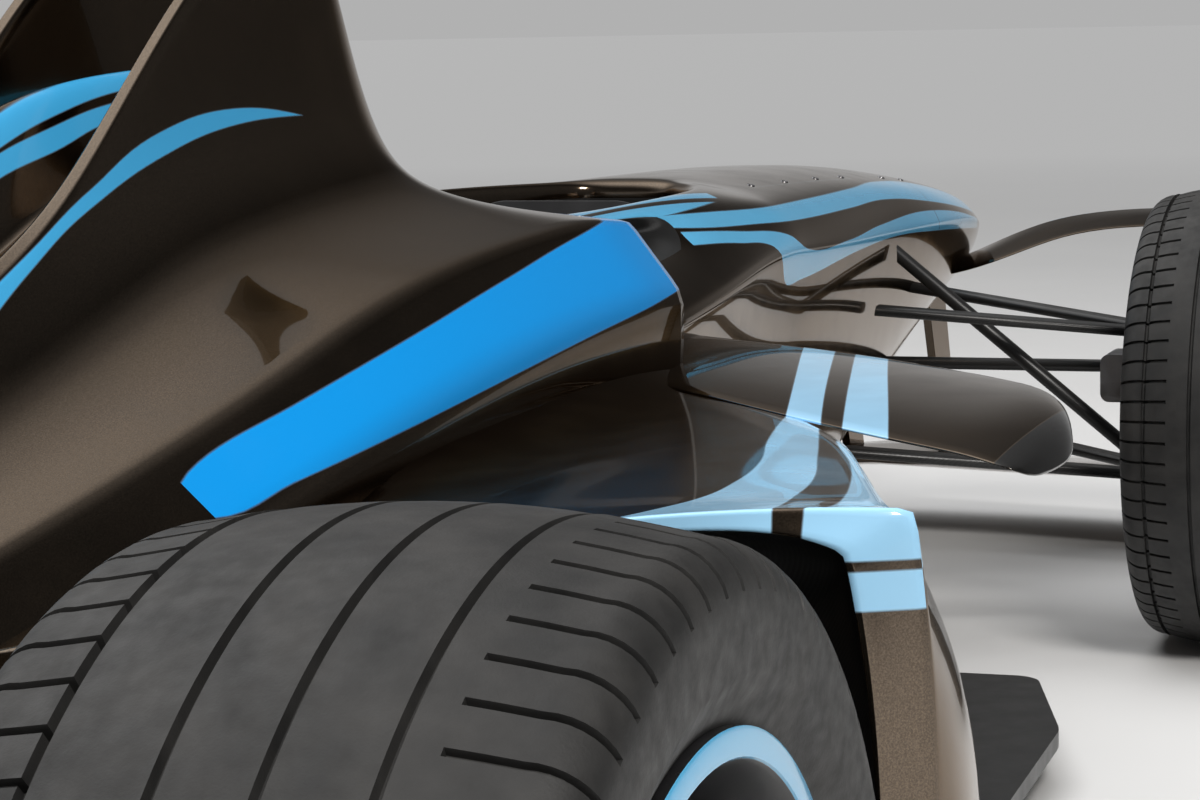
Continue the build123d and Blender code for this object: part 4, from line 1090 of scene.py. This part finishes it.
def makeRim(corner, hub, side, halfWidth):
    seat, face = halfWidth - rimSizes["inset"], rimSizes["face"]
    profile = [(end * seat + (-past if end < 0 else past), reach) for end, past, reach in rimProfile]
    bm = turned(profile, side, rimSizes["steps"], closed=True)
    for part in bm.faces:
        place = part.calc_center_median()
        if side * place.y > seat + rimSizes["ringOut"] and reachOf(place) > rimSizes["ringFrom"]:
            part.material_index = 1
    bmesh.ops.translate(bm, verts=bm.verts, vec=hub)
    barrel = finishPiece(bm, "barrel." + corner, "wheel_" + corner, [plain["rimPaint"], ringPaint], sharp=35)

    whole = bmesh.new()
    for index in range(rimSizes["spokes"]):
        turn = Matrix.Rotation(2 * pi * index / rimSizes["spokes"], 4, "Y")
        rows = []
        for reach, out, half, depth in spokeStations:
            top, foot, narrow = face + out, face + out - depth, half * rimSizes["spokeFoot"]
            corners = ((-half, top), (half, top), (narrow, foot), (-narrow, foot), (-half, top))
            rows.append([turn @ Vector((x, side * y, reach)) for x, y in corners])
        bm = lattice(rows)
        closeForm(bm, weldGap)
        addTo(whole, bm)
    bmesh.ops.recalc_face_normals(whole, faces=whole.faces)
    bmesh.ops.bevel(whole, geom=whole.edges[:], offset=rimSizes["softEdge"], segments=2, affect="EDGES",
                    profile=0.5, material=-1)
    bmesh.ops.translate(whole, verts=whole.verts, vec=hub)
    spokes = finishPiece(whole, "spokes." + corner, "wheel_" + corner, [plain["rimPaint"]], sharp=40)

    bm = turned([(face + out, reach) for out, reach in hubProfile], side, rimSizes["hubSteps"])
    place = Matrix.Translation((0, side * (face + nutShape["out"]), 0))
    nut = bmesh.ops.create_cone(bm, cap_ends=True, segments=6, radius1=nutShape["foot"],
                                radius2=nutShape["top"], depth=nutShape["depth"],
                                matrix=place @ Matrix.Rotation(-side * pi / 2, 4, "X"))
    for part in {f for v in nut["verts"] for f in v.link_faces}:
        part.material_index = 1
    bmesh.ops.translate(bm, verts=bm.verts, vec=hub)
    materials = [plain["rimPaint"], plain["machinedAlloy"]]
    centre = finishPiece(bm, "hubPlate." + corner, "wheel_" + corner, materials, sharp=35)
    for piece in (barrel, spokes, centre):
        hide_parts("rim_" + corner)


sides = ((1, "left"), (-1, "right"))
cover = makeCover()
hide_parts("engine_cover", "hoop_fairing")
for side, name in sides:
    pod = makePod(side, name)
    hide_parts("sidepod_" + name)
print("engine cover and sidepods made")
tub = makeTub()
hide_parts("monocoque", "nose_cone")
for side, name in sides:
    vane = makeVane(side, name)
    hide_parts("sidepod_vanes")
makeRoll()
print("tub, vanes and roll made")
headrest = makePad("headrestPad")
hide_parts("headrest")
makePad("seatPad")
for fitting in makeHarness():
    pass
print("padding and harness made")
plane = makePlane()
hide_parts("front_wing_upper_plane")
print("upper plane made")
for side, name in sides:
    coverOut, coverHeight = studShape["coverFrom"]
    coverStarts = [onCar(ahead, side * coverOut, coverHeight) for ahead in studShape["coverAhead"]]
    makeStuds("coverStuds." + name, cover, coverStarts, (0, -side, 0))
    lidOut, lidHeight = studShape["lidFrom"]
    lidStarts = [onCar(ahead, side * lidOut, lidHeight) for ahead in studShape["lidAhead"]]
    makeStuds("tubStuds." + name, tub, lidStarts, (0, 0, -1))
for fitting in makeWheelFittings():
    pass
print("fittings made")
for corner, side in (("rear_left", 1), ("rear_right", -1), ("front_left", 1), ("front_right", -1)):
    low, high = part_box("tyre_" + corner)
    hub, halfWidth = (low + high) / 2, (high.y - low.y) / 2
    makeTyre(corner, hub, side, halfWidth, (high.z - low.z) / 2)
    makeRim(corner, hub, side, halfWidth)
print("wheels made")

# Finishes and softened edges of the nodes that still show
finishes = {
    "bodywork": bronze, "carbon": carbon, "tyre": rubber, "rim": plain["rimPaint"],
    "disc": plain["turnedSteel"], "steel": plain["turnedSteel"], "alloy": plain["machinedAlloy"],
    "casing": plain["castCasing"], "lamp": lampRed,
    "dark_plastic": plain["blackPlastic"], "padding": plain["padFabric"],
}
slotOf = {part["node"]: part["material_slot"] for part in frame["record"]["subparts"]}
edgeSettings = {"weld": 0.00002, "width": 0.0015, "segments": 2, "angle": 40}
for name, piece in nodes.items():
    piece.data.materials.clear()
    piece.data.materials.append(finishes[slotOf[name]])
    weld = piece.modifiers.new("weld", "WELD")
    weld.merge_threshold = edgeSettings["weld"]
    edge = piece.modifiers.new("edge", "BEVEL")
    edge.width = edgeSettings["width"]
    edge.segments = edgeSettings["segments"]
    edge.limit_method = "ANGLE"
    edge.angle_limit = radians(edgeSettings["angle"])
    edge.harden_normals = True
print("finishes given to the nodes")


# Floor and world: a pale ground that meets the horizon's grey, and a soft panel overhead to the left
stageLook = {
    "size": 160, "ground": 0.58, "blotch": 1.5, "rough": 0.7, "specular": 0.1, "horizon": 0.44,
    "fadeOver": 20.0, "fade": ((0.25, 0), (0.75, 1)),  # share of the way to the horizon's grey
    # brightness towards the panel, share of the glow by height, share that faces left, glow on the right
    "toward": (0.20, 0.62, 0.76),
    "sky": ((0.0, 0.10), (0.42, 0.045), (0.55, 0.10), (0.70, 0.28), (0.82, 0.70), (0.92, 1.4), (1.0, 1.7)),
    "glow": ((0.0, 0.44), (0.09, 0.44), (0.24, 0.05)), "glowShare": ((0.12, 1), (0.26, 0)),
    "left": ((0.30, 0), (0.56, 1)), "rightGlow": 0.07,
}


def makeGround():
    bpy.ops.mesh.primitive_plane_add(size=stageLook["size"], location=(0, 0, 0))
    ground = bpy.context.object
    ground.name = "ground"
    material, tree, shader = newMaterial("paleGround")
    reach = node(tree, "VectorMath", {0: objectPoint(tree)}, operation="LENGTH").outputs["Value"]
    away = math(tree, "DIVIDE", reach, stageLook["fadeOver"])
    far = ramp(tree, away, *stageLook["fade"])
    blotch = noise(tree, stageLook["blotch"])
    pale = ramp(tree, blotch, (0.3, stageLook["ground"] * 0.96), (0.7, stageLook["ground"]))
    # the far ground shines only as seen or mirrored, and puts no light on the car
    rays = node(tree, "LightPath").outputs
    seen = math(tree, "ADD", rays["Is Camera Ray"], rays["Is Glossy Ray"])
    seen = math(tree, "ADD", seen, rays["Is Transmission Ray"])
    feed(tree, shader, {
        "Base Color": mixColour(tree, far, pale, 0.0),
        "Roughness": stageLook["rough"],
        "Specular IOR Level": stageLook["specular"],
        "Emission Color": rgba(stageLook["horizon"]),
        "Emission Strength": math(tree, "MULTIPLY", seen, far),
    })
    ground.data.materials.append(material)


def makeWorld():
    world = bpy.data.worlds.new("studio")
    bpy.context.scene.world = world
    world.use_nodes = True
    tree = world.node_tree
    direction = node(tree, "TexCoord").outputs["Generated"]
    side, height = split(tree, direction)[1:]
    toward = node(tree, "VectorMath", {0: direction, 1: stageLook["toward"]}, operation="DOT_PRODUCT")
    sky = ramp(tree, toward.outputs["Value"], *stageLook["sky"])
    leftward = ramp(tree, math(tree, "ADD", side, 0.5), *stageLook["left"])
    glow = mixColour(tree, leftward, stageLook["rightGlow"], ramp(tree, height, *stageLook["glow"]))
    sky = mixColour(tree, ramp(tree, height, *stageLook["glowShare"]), sky, glow)
    feed(tree, tree.nodes["Background"], {"Color": sky, "Strength": 1.0})


lampTable = {
    # name: place, target, size, power, colour, whether it shows in gloss
    "key": ((-6.0, -5.0, 7.5), (0, 0, 0.4), (3.0, 2.5), 880, (1, 0.97, 0.93), True),
    "overhead": ((0.5, 0.5, 7.5), (0, 0, 0.5), (9.0, 7.0), 540, (1, 1, 1), False),
}


def makeLamps():
    for name, (place, target, size, power, colour, glossy) in lampTable.items():
        data = bpy.data.lights.new(name, "AREA")
        data.shape = "RECTANGLE"
        data.size, data.size_y = size
        data.energy = power
        data.color = colour
        lamp = bpy.data.objects.new(name, data)
        lamp.location = place
        lamp.visible_glossy = glossy
        lamp.rotation_euler = (Vector(target) - Vector(place)).to_track_quat("-Z", "Y").to_euler()
        bpy.context.scene.collection.objects.link(lamp)


makeGround()
makeWorld()
makeLamps()
bpy.context.scene.view_settings.view_transform = "Standard"
print("stage and lamps made")
